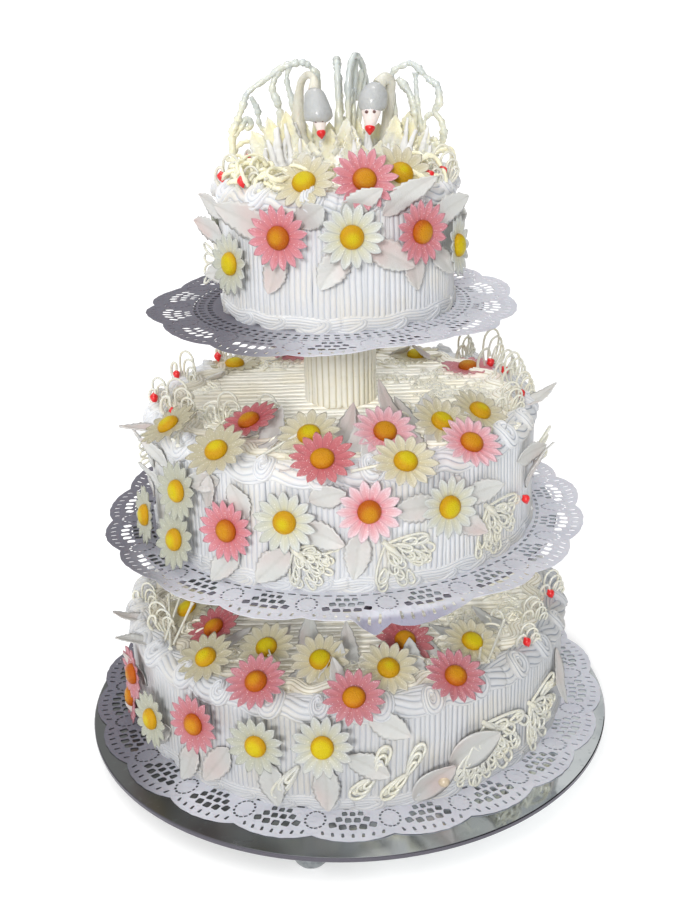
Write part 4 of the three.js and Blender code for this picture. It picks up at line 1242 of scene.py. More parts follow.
# Stamens: thickness, then each one's two ends as azimuth, radius and height above the face.
STICKS = {
    "top": (1.0, [((-36, 96, 14), (-26, 66, 20))]),
    "middle": (1.3, [((2, 178, 2), (13, 182, 9)), ((-50, 184, 10), (-55, 152, 22)),
                     ((-47, 186, 8), (-60, 160, 22)), ((-24, 170, 6), (-14, 140, 20)),
                     ((-21, 150, 6), (-12, 172, 16))]),
    "bottom": (1.3, [((38, 196, 9), (53, 176, 22)), ((36, 192, 12), (47, 166, 20)),
                     ((-58, 196, 6), (-72, 162, 30)), ((-56, 190, 6), (-62, 160, 32)),
                     ((-54, 196, 8), (-78, 172, 20))]),
}
# Chains of loops that hang at the sides of a wall.
CHAINS = {
    "top": [loop(17, 11, LACE_STRAND, -70 - 28 * k, (-150 + 2 * k, 46 - 3 * k), 14)
            for k in range(4)],
    "bottom": [],
    "middle": [loop(9, 8, LACE_STRAND, 90, (-262, 82 - 8 * k), 9) for k in range(4)]
    + [loop(20, 12, LACE_STRAND, 20 + 40 * k, (262, 58 - 4 * k), 15) for k in range(3)]}

for number, (name, tier) in enumerate(TIERS.items()):
    lace = []
    for k, (azimuth, height, lean, size) in enumerate(WALL_LACE[name]):
        lace += placed(lace_fan(50 * number + k, lean, size), on_wall(tier, azimuth, height))
    for azimuth, height, drops in WALL_DROPS if name == "bottom" else ():
        lace += placed(lace_drops(drops), on_wall(tier, azimuth, height))
    reds, lying = [], []
    for k, (azimuth, radius, lean, size) in enumerate(TOP_LACE[name]):
        lying += placed(lace_fan(90 * number + k, lean, size), on_top(tier, azimuth, radius))
    for k, (azimuth, inset, size, marked) in enumerate(RIM_LACE[name]):
        place = rim_place_of(tier, azimuth, inset)
        lace += placed(rim_swan(70 * number + k, size), place)
        if marked:
            reds += placed(MARK, place)
    for azimuth, height in WALL_MARKS.get(name, ()):
        reds += placed(MARK, on_wall(tier, azimuth, height))
    thick, sticks = STICKS[name]
    lace += [stick(tier, start, end, thick) for start, end in sticks]
    lace += placed(CHAINS[name], on_wall(tier, 0, 0))
    made = grow(lace_ropes, LACE_LUMPS, courses_mesh(lace))
    piece("lace_" + name, made, "lace_sugar", level=tier["base"])
    if lying:
        made = grow(lit_lace_ropes, LACE_LUMPS, courses_mesh(lying))
        piece("lace_lying_" + name, made, "lace_sugar", level=tier["base"])
    made = grow(red_forms, {"Lumps": 0.25, "Lump size": 5.0}, courses_mesh(reds))
    piece("red_marks_" + name, made, "swan_sugar", level=tier["base"])


# ---- Swans and their wings ----
DECK = TIERS["top"]["base"] + TIERS["top"]["height"]
ROPE = 2.9                       # radius of a wing's outer rope, and of those inside it
RIB = 2.3
WING_LIFT = 2.2                  # the ropes' own thickness, under the lowest of them
# Each wing: foot of its inner edge, turn of its plane, and its ropes as (across, up) points.
WINGS = {
    "left_outer": ((-10, 34), 14, [
        ([(-79, 0), (-80, 12), (-80, 35), (-75, 46), (-70, 58), (-64, 70), (-48, 80), (-37, 87),
          (-27, 91), (-15, 92), (-7, 86), (-3, 76), (-6, 40), (-8, 0)], ROPE),
        ([(-37, 86), (-43, 73), (-39, 60), (-37, 50), (-37, 36), (-36, 18), (-34, 0)], ROPE),
        ([(-62, 66), (-57, 55), (-56, 43), (-50, 35), (-46, 26), (-46, 0)], RIB),
        ([(-78, 34), (-72, 41), (-67, 48), (-63, 44), (-66, 40), (-70, 42)], RIB),
        ([(-80, 20), (-75, 26), (-68, 29), (-62, 27), (-58, 18), (-58, 0)], RIB),
        ([(-27, 91), (-30, 78), (-26, 60), (-24, 36), (-22, 0)], RIB),
        ([(-80, 3), (-66, 12), (-48, 6), (-30, 13), (-10, 4)], RIB)]),
    "left_inner": ((4, 2), 88, [
        ([(2, 0), (0, 47), (4, 81), (15, 94), (31, 91), (47, 79), (59, 53), (62, 30), (59, 0)],
         ROPE),
        ([(10, 2), (12, 47), (25, 91)], RIB), ([(18, 2), (28, 42), (47, 77)], RIB),
        ([(28, 2), (42, 25), (60, 42)], RIB), ([(4, 40), (14, 52), (24, 44), (30, 60)], RIB)]),
    "right_inner": ((13, 4), 71, [
        ([(2, 0), (0, 48), (4, 83), (15, 97), (31, 94), (47, 81), (59, 54), (62, 31), (59, 0)],
         ROPE),
        ([(10, 2), (12, 49), (25, 94)], RIB), ([(18, 2), (28, 44), (47, 80)], RIB),
        ([(28, 2), (42, 25), (60, 43)], RIB), ([(3, 60), (16, 70), (26, 62), (40, 84)], RIB)]),
    "right_outer": ((57, 10), -20, [
        ([(0, 0), (-4, 40), (-7, 80), (4, 90), (11, 91), (17, 87), (25, 79), (33, 73), (35, 60),
          (31, 52), (37, 44), (39, 33), (34, 22), (22, 20), (20, 0)], ROPE),
        ([(-2, 79), (5, 72), (10, 64), (13, 53), (13, 38), (12, 0)], ROPE),
        ([(14, 84), (15, 66), (17, 50), (20, 34), (21, 18)], RIB),
        ([(30, 51), (24, 48), (21, 38), (24, 27), (36, 25)], RIB),
        ([(24, 8), (31, 15), (34, 24), (30, 30)], RIB)]),
}


def wing_place(foot, turn):
    a = math.radians(turn)

    def place(points):
        across, up, off = points.T
        return np.stack([foot[0] + across * math.cos(a) - off * math.sin(a),
                         foot[1] + across * math.sin(a) + off * math.cos(a),
                         up + WING_LIFT], axis=1)
    return place


for number, (name, (foot, turn, ropes)) in enumerate(WINGS.items()):
    random = np.random.default_rng(number)
    courses = []
    for points, strand in ropes:
        shape = [(x, max(y, -1.5), random.uniform(-0.8, 0.8), strand * random.uniform(0.85, 1.15))
                 for x, y in points]
        courses.append((curved(shape, 7), False))
    mesh = grow(wing_ropes, {"Lumps": 0.85, "Lump size": 3.8}, courses_mesh(placed(
        courses, wing_place(foot, turn))))
    piece("rope_wing_" + name, mesh, "lace_sugar", ["wing_" + name], DECK)

# Each swan: the courses of its body and neck, of its hood, face, bill tip, and its eyes.
SWANS = {
    "left": dict(
        body=[(-24, 24, 9, 3), (-25, 16, 13, 10), (-24, 4, 14, 13.5), (-23, -8, 13, 11),
              (-22, -15, 12, 4)],
        neck=[(-24, 8, 14, 7), (-29, 15, 34, 6.4), (-30, 17, 52, 5.4), (-29, 16, 68, 4.2),
              (-26, 10, 81, 3.2), (-20, 0, 87, 2.9), (-15.5, -8, 84, 3.2), (-15.5, -12, 76, 5)],
        hood=[(-16.5, -12, 76.5, 2.5), (-16, -14, 73.5, 7.6), (-14.6, -17, 68, 9.8),
              (-13.6, -19.5, 62, 11.4), (-12.6, -21, 57, 12.2), (-12, -22, 53, 11.2),
              (-12, -22, 51, 5)],
        face=[(-12, -23, 58, 6.6), (-11.6, -24.5, 53, 6.2), (-11, -26, 48.5, 4.6),
              (-10.8, -26.8, 45, 3.4), (-10.7, -27, 42, 2.2)],
        bill=[(-10.8, -26.5, 45.5, 2.4), (-10.6, -27.5, 43.2, 3.9), (-10.4, -28, 40.8, 3.2),
              (-10.2, -28, 38, 0.7)],
        eyes=[(-14.6, -29.6, 52.6), (-9.2, -30, 53)]),
    "right": dict(
        body=[(42, 26, 9, 3), (42, 18, 13, 10), (42, 6, 14, 13.5), (41, -6, 13, 11),
              (40, -13, 12, 4)],
        neck=[(43, 12, 14, 7), (45, 10, 34, 5.4), (46.5, 8, 52, 5), (48, 5, 68, 4.8),
              (48, 1, 79, 5), (43.5, -4, 82.5, 5.4), (38, -8, 78, 5.4)],
        hood=[(39.5, -8.5, 78, 3), (38, -10, 76, 7.6), (36, -12.5, 72.5, 10.6),
              (33.8, -16, 68, 11.8), (32.4, -18.5, 63.5, 11.6), (31.8, -20, 60, 10),
              (31.8, -20, 57, 6)],
        face=[(31.6, -20, 62, 8), (31.4, -22, 58, 8.2), (30.8, -24, 52, 6.2),
              (30.4, -25, 47.5, 4.6), (30.2, -26, 44, 3.4)],
        bill=[(30.4, -25, 48, 2.8), (30.2, -26, 46, 4.3), (30, -26.5, 43.4, 3.6),
              (29.8, -27, 40, 0.8)],
        eyes=[(27.4, -29.8, 59), (33.8, -29.8, 59)]),
}
EYE_RADIUS = 1.35
CALM_SKIN = {"Lumps": 0.05, "Lump size": 14.0}
for name, swan in SWANS.items():
    body = [(curved(swan[part], 8), False) for part in ("body", "neck")]
    mesh = grow(neck_forms, {"Lumps": 0.16, "Lump size": 9.0}, courses_mesh(body))
    piece("sugar_swan_" + name, mesh, "swan_sugar", ["swan_" + name], DECK)
    for part, forms, steps in (("hood", swan_forms, 8), ("face", face_forms, 8),
                               ("bill", red_forms, 6)):
        mesh = grow(forms, CALM_SKIN, courses_mesh([(curved(swan[part], steps), False)]))
        piece(f"swan_{part}_{name}", mesh, "swan_sugar", level=DECK)
    eyes = [bead(eye, EYE_RADIUS) for eye in swan["eyes"]]
    mesh = grow(eye_forms, CALM_SKIN, courses_mesh(eyes))
    piece("swan_eyes_" + name, mesh, "swan_sugar", level=DECK)


# Feathers that stand between the swans: foot, lean from upright, length, half width.
FEATHERS = [
    (-50, 20, -24, 42, 13), (-43, 18, -14, 50, 13), (-35, 20, -6, 56, 13), (-26, 18, 0, 50, 12),
    (-12, 20, -4, 42, 13), (-2, 18, -2, 46, 12), (8, 20, 2, 50, 12), (18, 18, 3, 48, 12),
    (28, 20, 4, 40, 12), (38, 18, 0, 44, 12), (48, 20, 4, 56, 13), (57, 18, 9, 54, 13),
    (65, 18, 16, 46, 12), (71, 14, 26, 36, 11),
    (-52, 0, -22, 46, 12), (-44, -3, -12, 55, 12), (-37, -5, -3, 58, 12), (-28, -8, 2, 36, 11),
    (-16, -8, -6, 34, 11), (-4, -10, 2, 44, 12), (6, -8, 6, 52, 12), (15, -10, 0, 46, 11),
    (25, -10, -4, 30, 10), (37, -10, 6, 34, 11), (47, -8, 6, 54, 12), (55, -8, 14, 52, 12),
    (63, -6, 22, 44, 11), (70, -4, 32, 36, 10),
]
# How high the run icing reaches in front of them: across, up.
ICING_REACH = [(-56, 20), (-46, 44), (-36, 54), (-28, 52), (-22, 30), (-10, 32), (0, 38), (10, 46),
               (24, 40), (34, 28), (46, 50), (58, 54), (68, 38), (78, 20)]
# Heaps of glittering icing that carry them: place and radius.
HEAPS = [
    (-44, 10, 12), (-30, -4, 11), (-14, 8, 12), (0, -8, 10), (10, 4, 12), (24, -6, 11),
    (30, 10, 12), (52, 0, 12), (64, 4, 10), (-58, 22, 9), (40, -14, 9), (-2, 24, 11),
    (28, 26, 11), (56, 26, 10),
]


def standing(x, y, lean):
    """Upright places: x of a flat form goes up and leans aside, y goes across."""
    a = math.radians(lean)

    def place(points):
        up, across, off = points.T
        return np.stack([x + across * math.cos(a) + up * math.sin(a), y - off + up * 0.1,
                         up * math.cos(a) - across * math.sin(a)], axis=1)
    return place


def tangle(seed, count, azimuth, radius, spread, thick):
    """Short curls of rope thrown over each other on a top face."""
    random = np.random.default_rng(seed)
    curls = []
    for _ in range(count):
        a = math.radians(random.normal(azimuth, spread))
        r = radius + random.uniform(-14, 12)
        centre = np.array([r * math.sin(a), -r * math.cos(a), random.uniform(1, 8.5 * thick)])
        turn, tilt = random.uniform(0, math.tau), random.uniform(0.2, 1.4)
        size = random.uniform(6, 12)
        points = []
        for k in range(7):
            t = k / 6 * random.uniform(4.4, 5.6)
            flat = np.array([math.cos(t) * size, math.sin(t) * size * 0.7 * math.cos(tilt),
                             math.sin(t) * size * 0.9 * math.sin(tilt)])
            points.append((centre[0] + flat[0] * math.cos(turn) - flat[1] * math.sin(turn),
                           centre[1] + flat[0] * math.sin(turn) + flat[1] * math.cos(turn),
                           max(centre[2] + flat[2], 0.5), random.uniform(0.6, 1.0) * thick))
        curls.append((curved(points, 5), False))
    return curls


STRAND_FOOT, STRAND_TIP = 5.2, 1.3


def run_icing(seed, count):
    """Thick strands that stand close together and thin out upwards."""
    random = np.random.default_rng(seed)
    strands = []
    for x in np.linspace(ICING_REACH[0][0], ICING_REACH[-1][0], count):
        y = random.uniform(-13, 18)
        top = np.interp(x, *zip(*ICING_REACH)) * random.uniform(0.5, 1.0)
        lean, bend = x * 0.004 + random.uniform(-0.1, 0.1), random.uniform(-4, 4)
        shape = [(x + lean * top * share + bend * math.sin(share * 3),
                  y + random.uniform(-1, 1), top * share,
                  (STRAND_FOOT + (STRAND_TIP - STRAND_FOOT) * share) * random.uniform(0.8, 1.2))
                 for share in (0, 0.2, 0.42, 0.62, 0.82, 1)]
        strands.append((curved(shape, 6), False))
    return strands


feather = leaf_tree("glittering feather", FEATHER_SUGAR)
feathers = []
for number, (x, y, lean, length, half) in enumerate(FEATHERS):
    sizes = {"Length": float(length), "Half width": float(half), "Lift": 2.0, "Tooth": 0.3,
             "Cup": 2.5, "Wave": 2.4, "Thickness": 1.8, "Seed": 90 + number}
    feathers.append(reshape(grow(feather, sizes), standing(x, y, lean)))
heaps = rope_tree("icing heaps", FEATHER_SUGAR, 22)
beads = [bead((x, y, r * 0.35), r, 16) for x, y, r in HEAPS]
feathers.append(grow(heaps, {"Lumps": 0.5, "Lump size": 7.0}, courses_mesh(beads)))
strands = rope_tree("run icing", FEATHER_SUGAR, 10)
feathers.append(grow(strands, {"Lumps": 0.6, "Lump size": 5.0}, courses_mesh(run_icing(11, 62))))
piece("swan_feathers", gather(feathers), "lace_sugar", level=DECK)

# Curls on the top faces: how many, azimuth and radius of their middle, how far they spread.
TANGLES = [(36, -52, 82, 16), (20, 58, 84, 12), (14, -10, 60, 20)]
SCATTERED = {"middle": [(9, -46, 126, 14), (10, 58, 120, 14), (5, 12, 80, 24), (6, 170, 120, 30)],
             "bottom": [(12, -62, 156, 14), (12, 60, 160, 14), (8, 0, 150, 24), (8, 170, 150, 30)]}


def curls_piece(name, seed, groups, thick, ropes, lumps, tier):
    curls = []
    for number, group in enumerate(groups):
        curls += tangle(seed + number, *group, thick)
    mesh = grow(ropes, {"Lumps": lumps, "Lump size": 4.0}, courses_mesh(curls))
    piece(name, mesh, "lace_sugar", level=tier["base"] + tier["height"])


curls_piece("rope_tangle_top", 5, TANGLES, 2.4, wing_ropes, 0.6, TIERS["top"])
for name, groups in SCATTERED.items():
    curls_piece("lace_curls_" + name, 60, groups, 1.3, lit_lace_ropes, 0.4, TIERS[name])

PEARL_RADIUS = 5.2
PEARL_AT = (21.4, 20.9)          # azimuth and height on the bottom wall
pearl = on_wall(TIERS["bottom"], *PEARL_AT)(np.array([[0.0, 0.0, 6.0]]))[0]
mesh = grow(pearl_form, {"Lumps": 0.0}, courses_mesh([bead(pearl, PEARL_RADIUS, 16)]))
piece("sugar_pearl", mesh, "lace_sugar", level=TIERS["bottom"]["base"])


# ---- Paper doilies ----
def paper_finish(name, shade_from, shade_to):
    """Embossed white paper, greyer to the left in painted shade between two distances in metres,
    and darker on the creased flap, also painted shade.
    """
    f = Finish(name)
    tone = f.mixed(f.smooth(f.noise(f.object, 30, 3), -0.2, 0.3), tint(201, 202, 209),
                   tint(190, 191, 200))
    x, _, _ = f.split(f.object)
    tone = f.mixed(f.smooth(x + f.noise(f.object, 9) * 0.05, shade_from, shade_to), tone,
                   tint(100, 98, 108))
    # painted shade on the creased flap of the middle doily
    tone = f.mixed(f.smooth(f.attribute("fold"), 0.0, 0.5), tone, tint(146, 145, 161))
    fibres = f.noise(f.object, 900, 3) + f.noise(f.object, 2200)
    dots = f.smooth(f.cells(210), 0.45, 0.1)
    return f.ends(Base_Color=tone, Roughness=0.75, Normal=f.bumps(fibres * 0.4 + dots, 0.3),
                  Subsurface_Weight=0.05, Subsurface_Scale=0.002)


SHADED = {"bottom": (-0.13, -0.21), "middle": (-0.12, -0.2), "top": (0.0, -0.1)}
BAND = {"bottom": 46, "middle": 50, "top": 62}     # depth of the pierced band
WIDE_BAND = 56                   # a deeper band has two more rows of holes
SCALLOP_DEPTH = 7
HOLE_POINTS = 8


def cell(x, y, width, depth, lean=0.0, narrow=0.75):
    """A hole with rounded corners: narrower on its far side, turned by lean."""
    shape = []
    turn = math.radians(lean)
    for k in range(HOLE_POINTS):
        a = math.tau * (k + 0.5) / HOLE_POINTS
        u = math.copysign(abs(math.cos(a)) ** 0.5, math.cos(a)) / 2
        v = math.copysign(abs(math.sin(a)) ** 0.5, math.sin(a)) / 2
        u *= width * (1 - (1 - narrow) * (v + 0.5))
        v *= depth
        shape.append((x + u * math.cos(turn) - v * math.sin(turn),
                      y + u * math.sin(turn) + v * math.cos(turn)))
    return shape


def scallop_edge(share):
    """How far the edge lies inside the doily's radius, across one scallop (-0.5 to 0.5)."""
    off = abs(2 * share)
    return SCALLOP_DEPTH * off ** 2.2 + 0.35 * math.sin(share * 34) * (1 - off)


def doily_sector(pitch, band):
    """One scallop's outline and its holes, flat: x along the edge, y inwards from it."""
    steps = 24
    inner = [(pitch * (k / 6 - 0.5), band) for k in range(7)]
    side = [band * share for share in (0.8, 0.6, 0.4, 0.25)]
    right = [(pitch / 2, y) for y in side]
    edge = [(pitch * (0.5 - k / steps), scallop_edge(0.5 - k / steps)) for k in range(steps + 1)]
    left = [(-pitch / 2, y) for y in reversed(side)]
    holes = []
    for k in range(-3, 4):       # slots along the edge
        x = k * pitch / 8
        holes.append(cell(x, 7.2 + scallop_edge(x / pitch) * 0.8, 3.0, 5.8, -k * 5))
    for k in range(-2, 3):       # the fan's three rows of cells
        holes.append(cell(k * 9.4, 17.6 + k * k * 0.8, 8.0, 8.0, -k * 9, 0.85))
    for k in (-1.5, -0.5, 0.5, 1.5):
        holes.append(cell(k * 8.8, 27.0 + k * k * 0.6, 7.4, 7.4, -k * 10, 0.8))
    for k in (-1, 0, 1):
        holes.append(cell(k * 8.0, 35.6 + k * k * 0.4, 6.6, 6.4, -k * 10, 0.75))
    for k in range(7):           # slots around the plain ovals, half on each side of the scallop
        a = math.radians(-78 + k * 26)
        for hand in (-1, 1):
            x = hand * (pitch / 2 - 9.6 * math.cos(a))
            y = 27.0 + 11.0 * math.sin(a)
            holes.append(cell(x, y, 4.2, 2.4, -hand * math.degrees(a) * 0.9 + 90))
    for k in range(6):           # the inner rows
        x = (k - 2.5) * pitch / 6
        holes.append(cell(x, 42.6, 9.4, 3.0, 0, 0.85))
        if band > WIDE_BAND:
            holes.append(cell(x, 48.6, 6.4, 5.6, 0, 0.8))
            holes.append(cell(x, 56.4, 8.6, 5.0, 0, 0.8))
    return [inner + right + edge + left] + holes


def flat_loops(loops):
    """Closed outlines in a plane, as edges."""
    mesh = bpy.data.meshes.new("loops")
    points, edges = [], []
    for shape in loops:
        clean = [p for k, p in enumerate(shape) if math.dist(p, shape[k - 1]) > SMALLEST]
        start = len(points)
        points += [(x, y, 0) for x, y in clean]
        count = len(clean)
        edges += [(start + k, start + (k + 1) % count) for k in range(count)]
    mesh.from_pydata(points, edges, [])
    return mesh


def doily_tree(name, paper):
    """A round doily from one flat scallop: pierced, copied around, waving and creased."""
    g = ShapeTree(name, {
        "Radius": 250.0, "Scallops": 22, "Band": 46.0, "Flat radius": 218.0, "Rise": 0.0,
        "Wave": 0.0, "Waves": 5.0, "Thickness": DOILY_THICKNESS, "Crease drop": 0.0,
        "Crease pull": 0.0, "Crease start": float(FLAP["start"]),
        "Crease lowest": float(FLAP["lowest"]), "Crease end": float(FLAP["end"])},
        takes_mesh=True)
    outline = g.get("GeometryNodeMeshToCurve", {"Mesh": Field(g, g.given.outputs["Geometry"])})
    flat = g.get("GeometryNodeFillCurve", {"Curve": outline})
    band = g.copies(flat, g["Scallops"])
    x, y, _ = g.split(g.position())
    angle = x / g["Radius"] + g.named("copy") * math.tau / g["Scallops"]
    band = g.moved(band, ring_place(g, angle, g["Radius"] - y, 0))
    disc = g.sheet(g["Scallops"] * 6 + 1.1, 8)
    u, v, _ = g.split(g.position())
    ray = (g["Radius"] - g["Band"]) * (1 - v)
    azimuth = (u * g["Scallops"] - 0.5) * math.tau / g["Scallops"]
    disc = g.moved(disc, ring_place(g, azimuth, ray, 0))
    whole = g.welded(g.get("GeometryNodeJoinGeometry", {"Geometry": [band, disc]}))
    px, py, _ = g.split(g.position())
    radius = (px * px + py * py) ** 0.5
    azimuth = g.math("ARCTAN2", px, -py)
    free = g.clamp((radius - g["Flat radius"]) / (g["Radius"] - g["Flat radius"]))
    degrees = azimuth * (180 / math.pi)
    before = (degrees - g["Crease start"]) / (g["Crease lowest"] - g["Crease start"])
    after = (g["Crease end"] - degrees) / (g["Crease end"] - g["Crease lowest"])
    fold = g.clamp(g.least(before, after))
    level = free * (g["Rise"] + g["Wave"] * g.sin(azimuth * g["Waves"])
                    - g["Crease drop"] * fold + g.noise(g.vector(px, py, 0), 0.03) * 1.6)
    ray = radius - g["Crease pull"] * fold * free
    # kept for the painted shade on the creased flap
    whole = g.keep(whole, "fold", fold * g.smooth(free, 0.1, 0.6) * g.clamp(g["Crease drop"]))
    whole = g.moved(whole, ring_place(g, azimuth, ray, level))
    lift = g.vector(0, 0, g["Thickness"])
    raised = g.get("GeometryNodeExtrudeMesh", {"Mesh": whole, "Offset": lift, "Individual": False})
    under = g.get("GeometryNodeFlipFaces", {"Mesh": whole})
    both = g.get("GeometryNodeJoinGeometry", {"Geometry": [raised, under]})
    return g.ends(g.welded(both), paper)


UNDER_CAKE = 1.0                 # from a cake's foot down to the underside of its doily
for name, tier in TIERS.items():
    rise, wave, waves, aside = DOILY_EDGE[name]
    flat = ((tier["plate"] or tier["wall"]) + SHELL_REACH) / math.cos(math.pi / tier["scallops"])
    sizes = {"Radius": float(tier["doily"]), "Scallops": tier["scallops"], "Rise": float(rise),
             "Band": float(BAND[name]), "Flat radius": flat, "Wave": float(wave),
             "Waves": float(waves)}
    if name == "middle":
        sizes |= {"Crease drop": float(FLAP["drop"]), "Crease pull": float(FLAP["pull"])}
    sector = doily_sector(math.tau * tier["doily"] / tier["scallops"], BAND[name])
    doily = doily_tree(name + " paper doily", paper_finish(name + " doily paper", *SHADED[name]))
    mesh = grow(doily, sizes, flat_loops(sector))
    piece("paper_doily_" + name, mesh, "doily_paper", ["doily_" + name],
          tier["base"] - UNDER_CAKE, aside, crease=40)


# ---- Mirror stand ----
def mirror_finish(name, centre_y, radius):
    """Old grey mirror glass with painted reflections: darker on the left, lighter on the right,
    with white blotches painted as bright reflections; its edge ground dark.
    """
    f = Finish(name)
    # painted reflection: noise for white blotches where bright surroundings are mirrored
    reflection_blotches = f.noise(f.object, 7, 3) + f.noise(f.object, 23, 2) * 0.5
    white = f.smooth(reflection_blotches, 0.02, 0.16)
    across, along, _ = f.split(f.object)
    # painted reflection: the glass is darker on the left and lighter on the right
    right = f.smooth(across, -0.16, 0.2)
    glass = f.mixed(right, tint(100, 102, 101), tint(198, 204, 206))
    tone = f.mixed(white * f.smooth(across, -0.16, 0.1) * 0.6, glass, tint(228, 232, 232))
    tone = f.mixed(f.smooth(f.noise(f.object, 160, 3), 0.08, 0.2) * 0.2, tone, tint(130, 138, 136))
    along = along - centre_y * MM
    ray = (across * across + along * along) ** 0.5
    edge = f.smooth(ray, (radius - 1.0) * MM, (radius - 0.5) * MM)
    tone = f.mixed(edge, tone, tint(104, 102, 110))
    return f.ends(Base_Color=tone, Metallic=1.0,
                  Roughness=f.noise(f.object, 40) * 0.06 + 0.3 - right * 0.24,
                  Normal=f.bumps(f.noise(f.object, 60), 0.04))


def metal_finish():
    f = Finish("brushed foot metal")
    tone = f.mixed(f.smooth(f.noise(f.object, 140, 2), -0.1, 0.2), tint(150, 154, 156),
                   tint(112, 116, 120))
    return f.ends(Base_Color=tone, Metallic=0.9, Roughness=0.32,
                  Normal=f.bumps(f.noise(f.object, 500), 0.1))


FOOT_METAL = metal_finish()
FOOT_SIDES = 40
GLASS_SIDES = 180
GLASS_BEVEL = 0.9


def lathe(profile, sides, material):
    """A closed turned shape from (radius, height) points that start and end on the axis."""
    mesh = bpy.data.meshes.new("turned")
    form = bmesh.new()
    points = [form.verts.new((r, 0, z)) for r, z in profile]
    edges = [form.edges.new(pair) for pair in zip(points, points[1:])]
    bmesh.ops.spin(form, geom=points + edges, axis=(0, 0, 1), cent=(0, 0, 0), steps=sides,
                   angle=math.tau, use_merge=True)
    bmesh.ops.remove_doubles(form, verts=form.verts, dist=SMALLEST)
    bmesh.ops.recalc_face_normals(form, faces=form.faces)
    form.to_mesh(mesh)
    form.free()
    mesh.materials.append(material)
    return mesh


def plate(name, centre_y, radius, bottom, top):
    """A glass mirror with its edges ground off."""
    profile = [(0, bottom), (radius - GLASS_BEVEL, bottom), (radius, bottom + GLASS_BEVEL),
               (radius, top - GLASS_BEVEL), (radius - GLASS_BEVEL, top), (0, top)]
    return lathe(profile, GLASS_SIDES, mirror_finish(name, centre_y, radius))


# A foot's outline, radius and height; it reaches just into the glass.
FOOT = [(0, 0), (8.5, 0), (12, 1.2), (14.2, 4), (15, 8), (15, 14), (13.4, 16), (13.4, 18.2),
        (0, 18.2)]
mesh = plate("tray mirror", TRAY_CENTRE_Y, TRAY_RADIUS, TRAY_BOTTOM, TRAY_TOP)
piece("tray_mirror", mesh, "mirror", ["tray"], centre_y=TRAY_CENTRE_Y, crease=30)
feet = []
for azimuth in FOOT_AZIMUTHS:
    foot = lathe(FOOT, FOOT_SIDES, FOOT_METAL)
    a = math.radians(azimuth)
    foot.transform(Matrix.Translation((FOOT_RING * math.sin(a), -FOOT_RING * math.cos(a), 0)))
    feet.append(foot)
piece("tray_feet", gather(feet), "mirror", centre_y=TRAY_CENTRE_Y, crease=40)
for name, top in PLATE_TOPS.items():
    mesh = plate(name + " plate mirror", AXIS_Y, TIERS[name]["plate"], top - PLATE_THICKNESS, top)
    piece("mirror_plate_" + name, mesh, "mirror", ["plate_" + name], crease=30)


# ---- Stage, camera and light ----
FLOOR_HALF = 40.0                # metres
CEILING_GLOW = 1.1
WALL_GLOW = 0.35
DARKER_RIGHT = 0.72              # share of the walls' glow that is missing on the right
LAMP_POWER = 1.86
FILL_POWER = 0.82
LAMP_SPREAD = 12                 # degrees
LAMP_FROM = (-10, 21)            # azimuth and height above the level, degrees
FILL_FROM = (180, 80)
EYE_AT = (0, -1.0937, 0.7083)    # metres
EYE_TURN = (21.751, 0.355, -1.448)       # down, to the right and tilted, degrees
LENS = 50.06
SENSOR_HEIGHT = 36


def stage():
    """A plain pale floor."""
    floor = bpy.data.meshes.new("floor")
    h = FLOOR_HALF
    corners = [(-h, -h, 0), (h, -h, 0), (h, h, 0), (-h, h, 0)]
    floor.from_pydata(corners, [], [(0, 1, 2, 3)])
    f = Finish("pale floor")
    floor.materials.append(f.ends(Base_Color=tint(252, 252, 252), Roughness=0.9,
                                  Emission_Color=(1, 1, 1, 1), Emission_Strength=0.08))
    made = bpy.data.objects.new("floor", floor)
    bpy.context.scene.collection.objects.link(made)


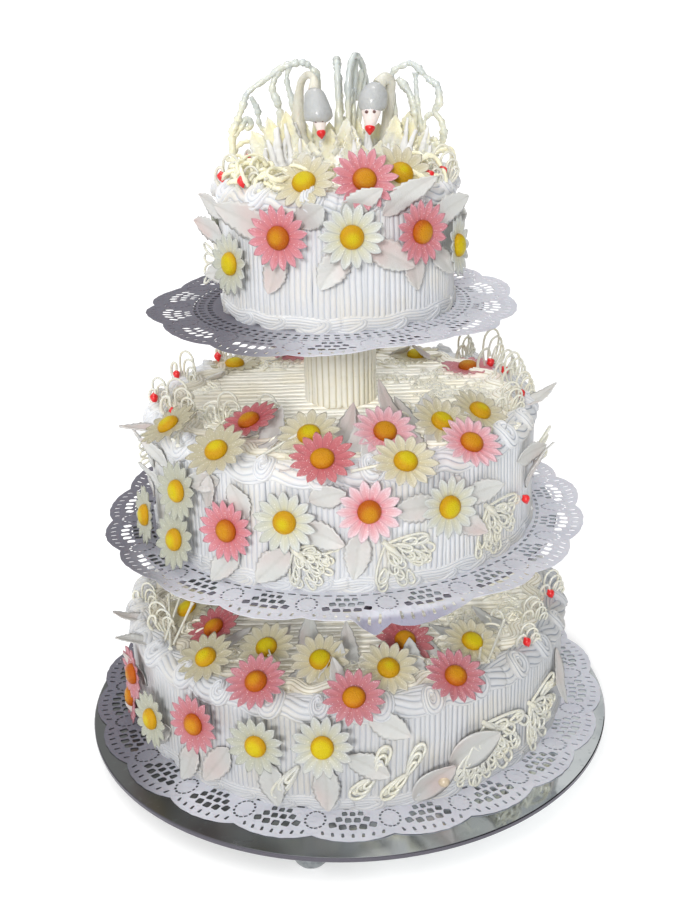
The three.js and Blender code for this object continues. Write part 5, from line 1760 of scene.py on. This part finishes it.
def lamp(name, power, place, shadow=True):
    light = bpy.data.lights.new(name, "SUN")
    light.energy = power
    light.angle = math.radians(LAMP_SPREAD)
    light.use_shadow = shadow
    holder = bpy.data.objects.new(name, light)
    bpy.context.scene.collection.objects.link(holder)
    azimuth, height = (math.radians(a) for a in place)
    towards = Vector((math.sin(azimuth) * math.cos(height), -math.cos(azimuth) * math.cos(height),
                      math.sin(height)))
    holder.rotation_euler = towards.to_track_quat("Z", "Y").to_euler()


def studio():
    """A bright ceiling over darker walls, and one soft lamp beside the eye."""
    world = bpy.data.worlds.new("studio")
    world.use_nodes = True
    world.node_tree.nodes.clear()
    g = Graph(world.node_tree)
    across, _, up = g.split(g.get("ShaderNodeTexCoord", output="Generated"))
    glow = WALL_GLOW + g.smooth(up, 0.0, 0.9) * (CEILING_GLOW - WALL_GLOW)
    glow = glow * (1 - g.smooth(across, -0.05, 0.7) * DARKER_RIGHT)
    seen = g.get("ShaderNodeLightPath", output="Is Camera Ray")
    shown = g.get("ShaderNodeBackground", {"Strength": glow * (1 - seen) + seen})
    g.node("ShaderNodeOutputWorld", {"Surface": shown})
    world.node_tree.nodes["Background"].inputs["Color"].default_value = (1, 1, 1, 1)
    bpy.context.scene.world = world
    lamp("lamp beside the eye", LAMP_POWER, LAMP_FROM)
    lamp("fill from above", FILL_POWER, FILL_FROM, False)


def camera():
    """Eye, level and lens of the view from the front, a little from above."""
    pitch, yaw, roll = (math.radians(a) for a in EYE_TURN)
    ahead = Vector((math.sin(yaw) * math.cos(pitch), math.cos(yaw) * math.cos(pitch),
                    -math.sin(pitch)))
    level = Vector((math.cos(yaw), -math.sin(yaw), 0))
    above = level.cross(ahead)
    right = level * math.cos(roll) + above * math.sin(roll)
    up = above * math.cos(roll) - level * math.sin(roll)
    lens = bpy.data.cameras.new("front")
    lens.sensor_fit = "VERTICAL"
    lens.sensor_height = SENSOR_HEIGHT
    lens.lens = LENS
    eye = bpy.data.objects.new("front", lens)
    bpy.context.scene.collection.objects.link(eye)
    turn = Matrix((right, up, -ahead)).transposed().to_4x4()
    eye.matrix_world = Matrix.Translation(EYE_AT) @ turn
    bpy.context.scene.camera = eye


stage()
studio()
camera()
bpy.context.scene.view_settings.view_transform = "Standard"
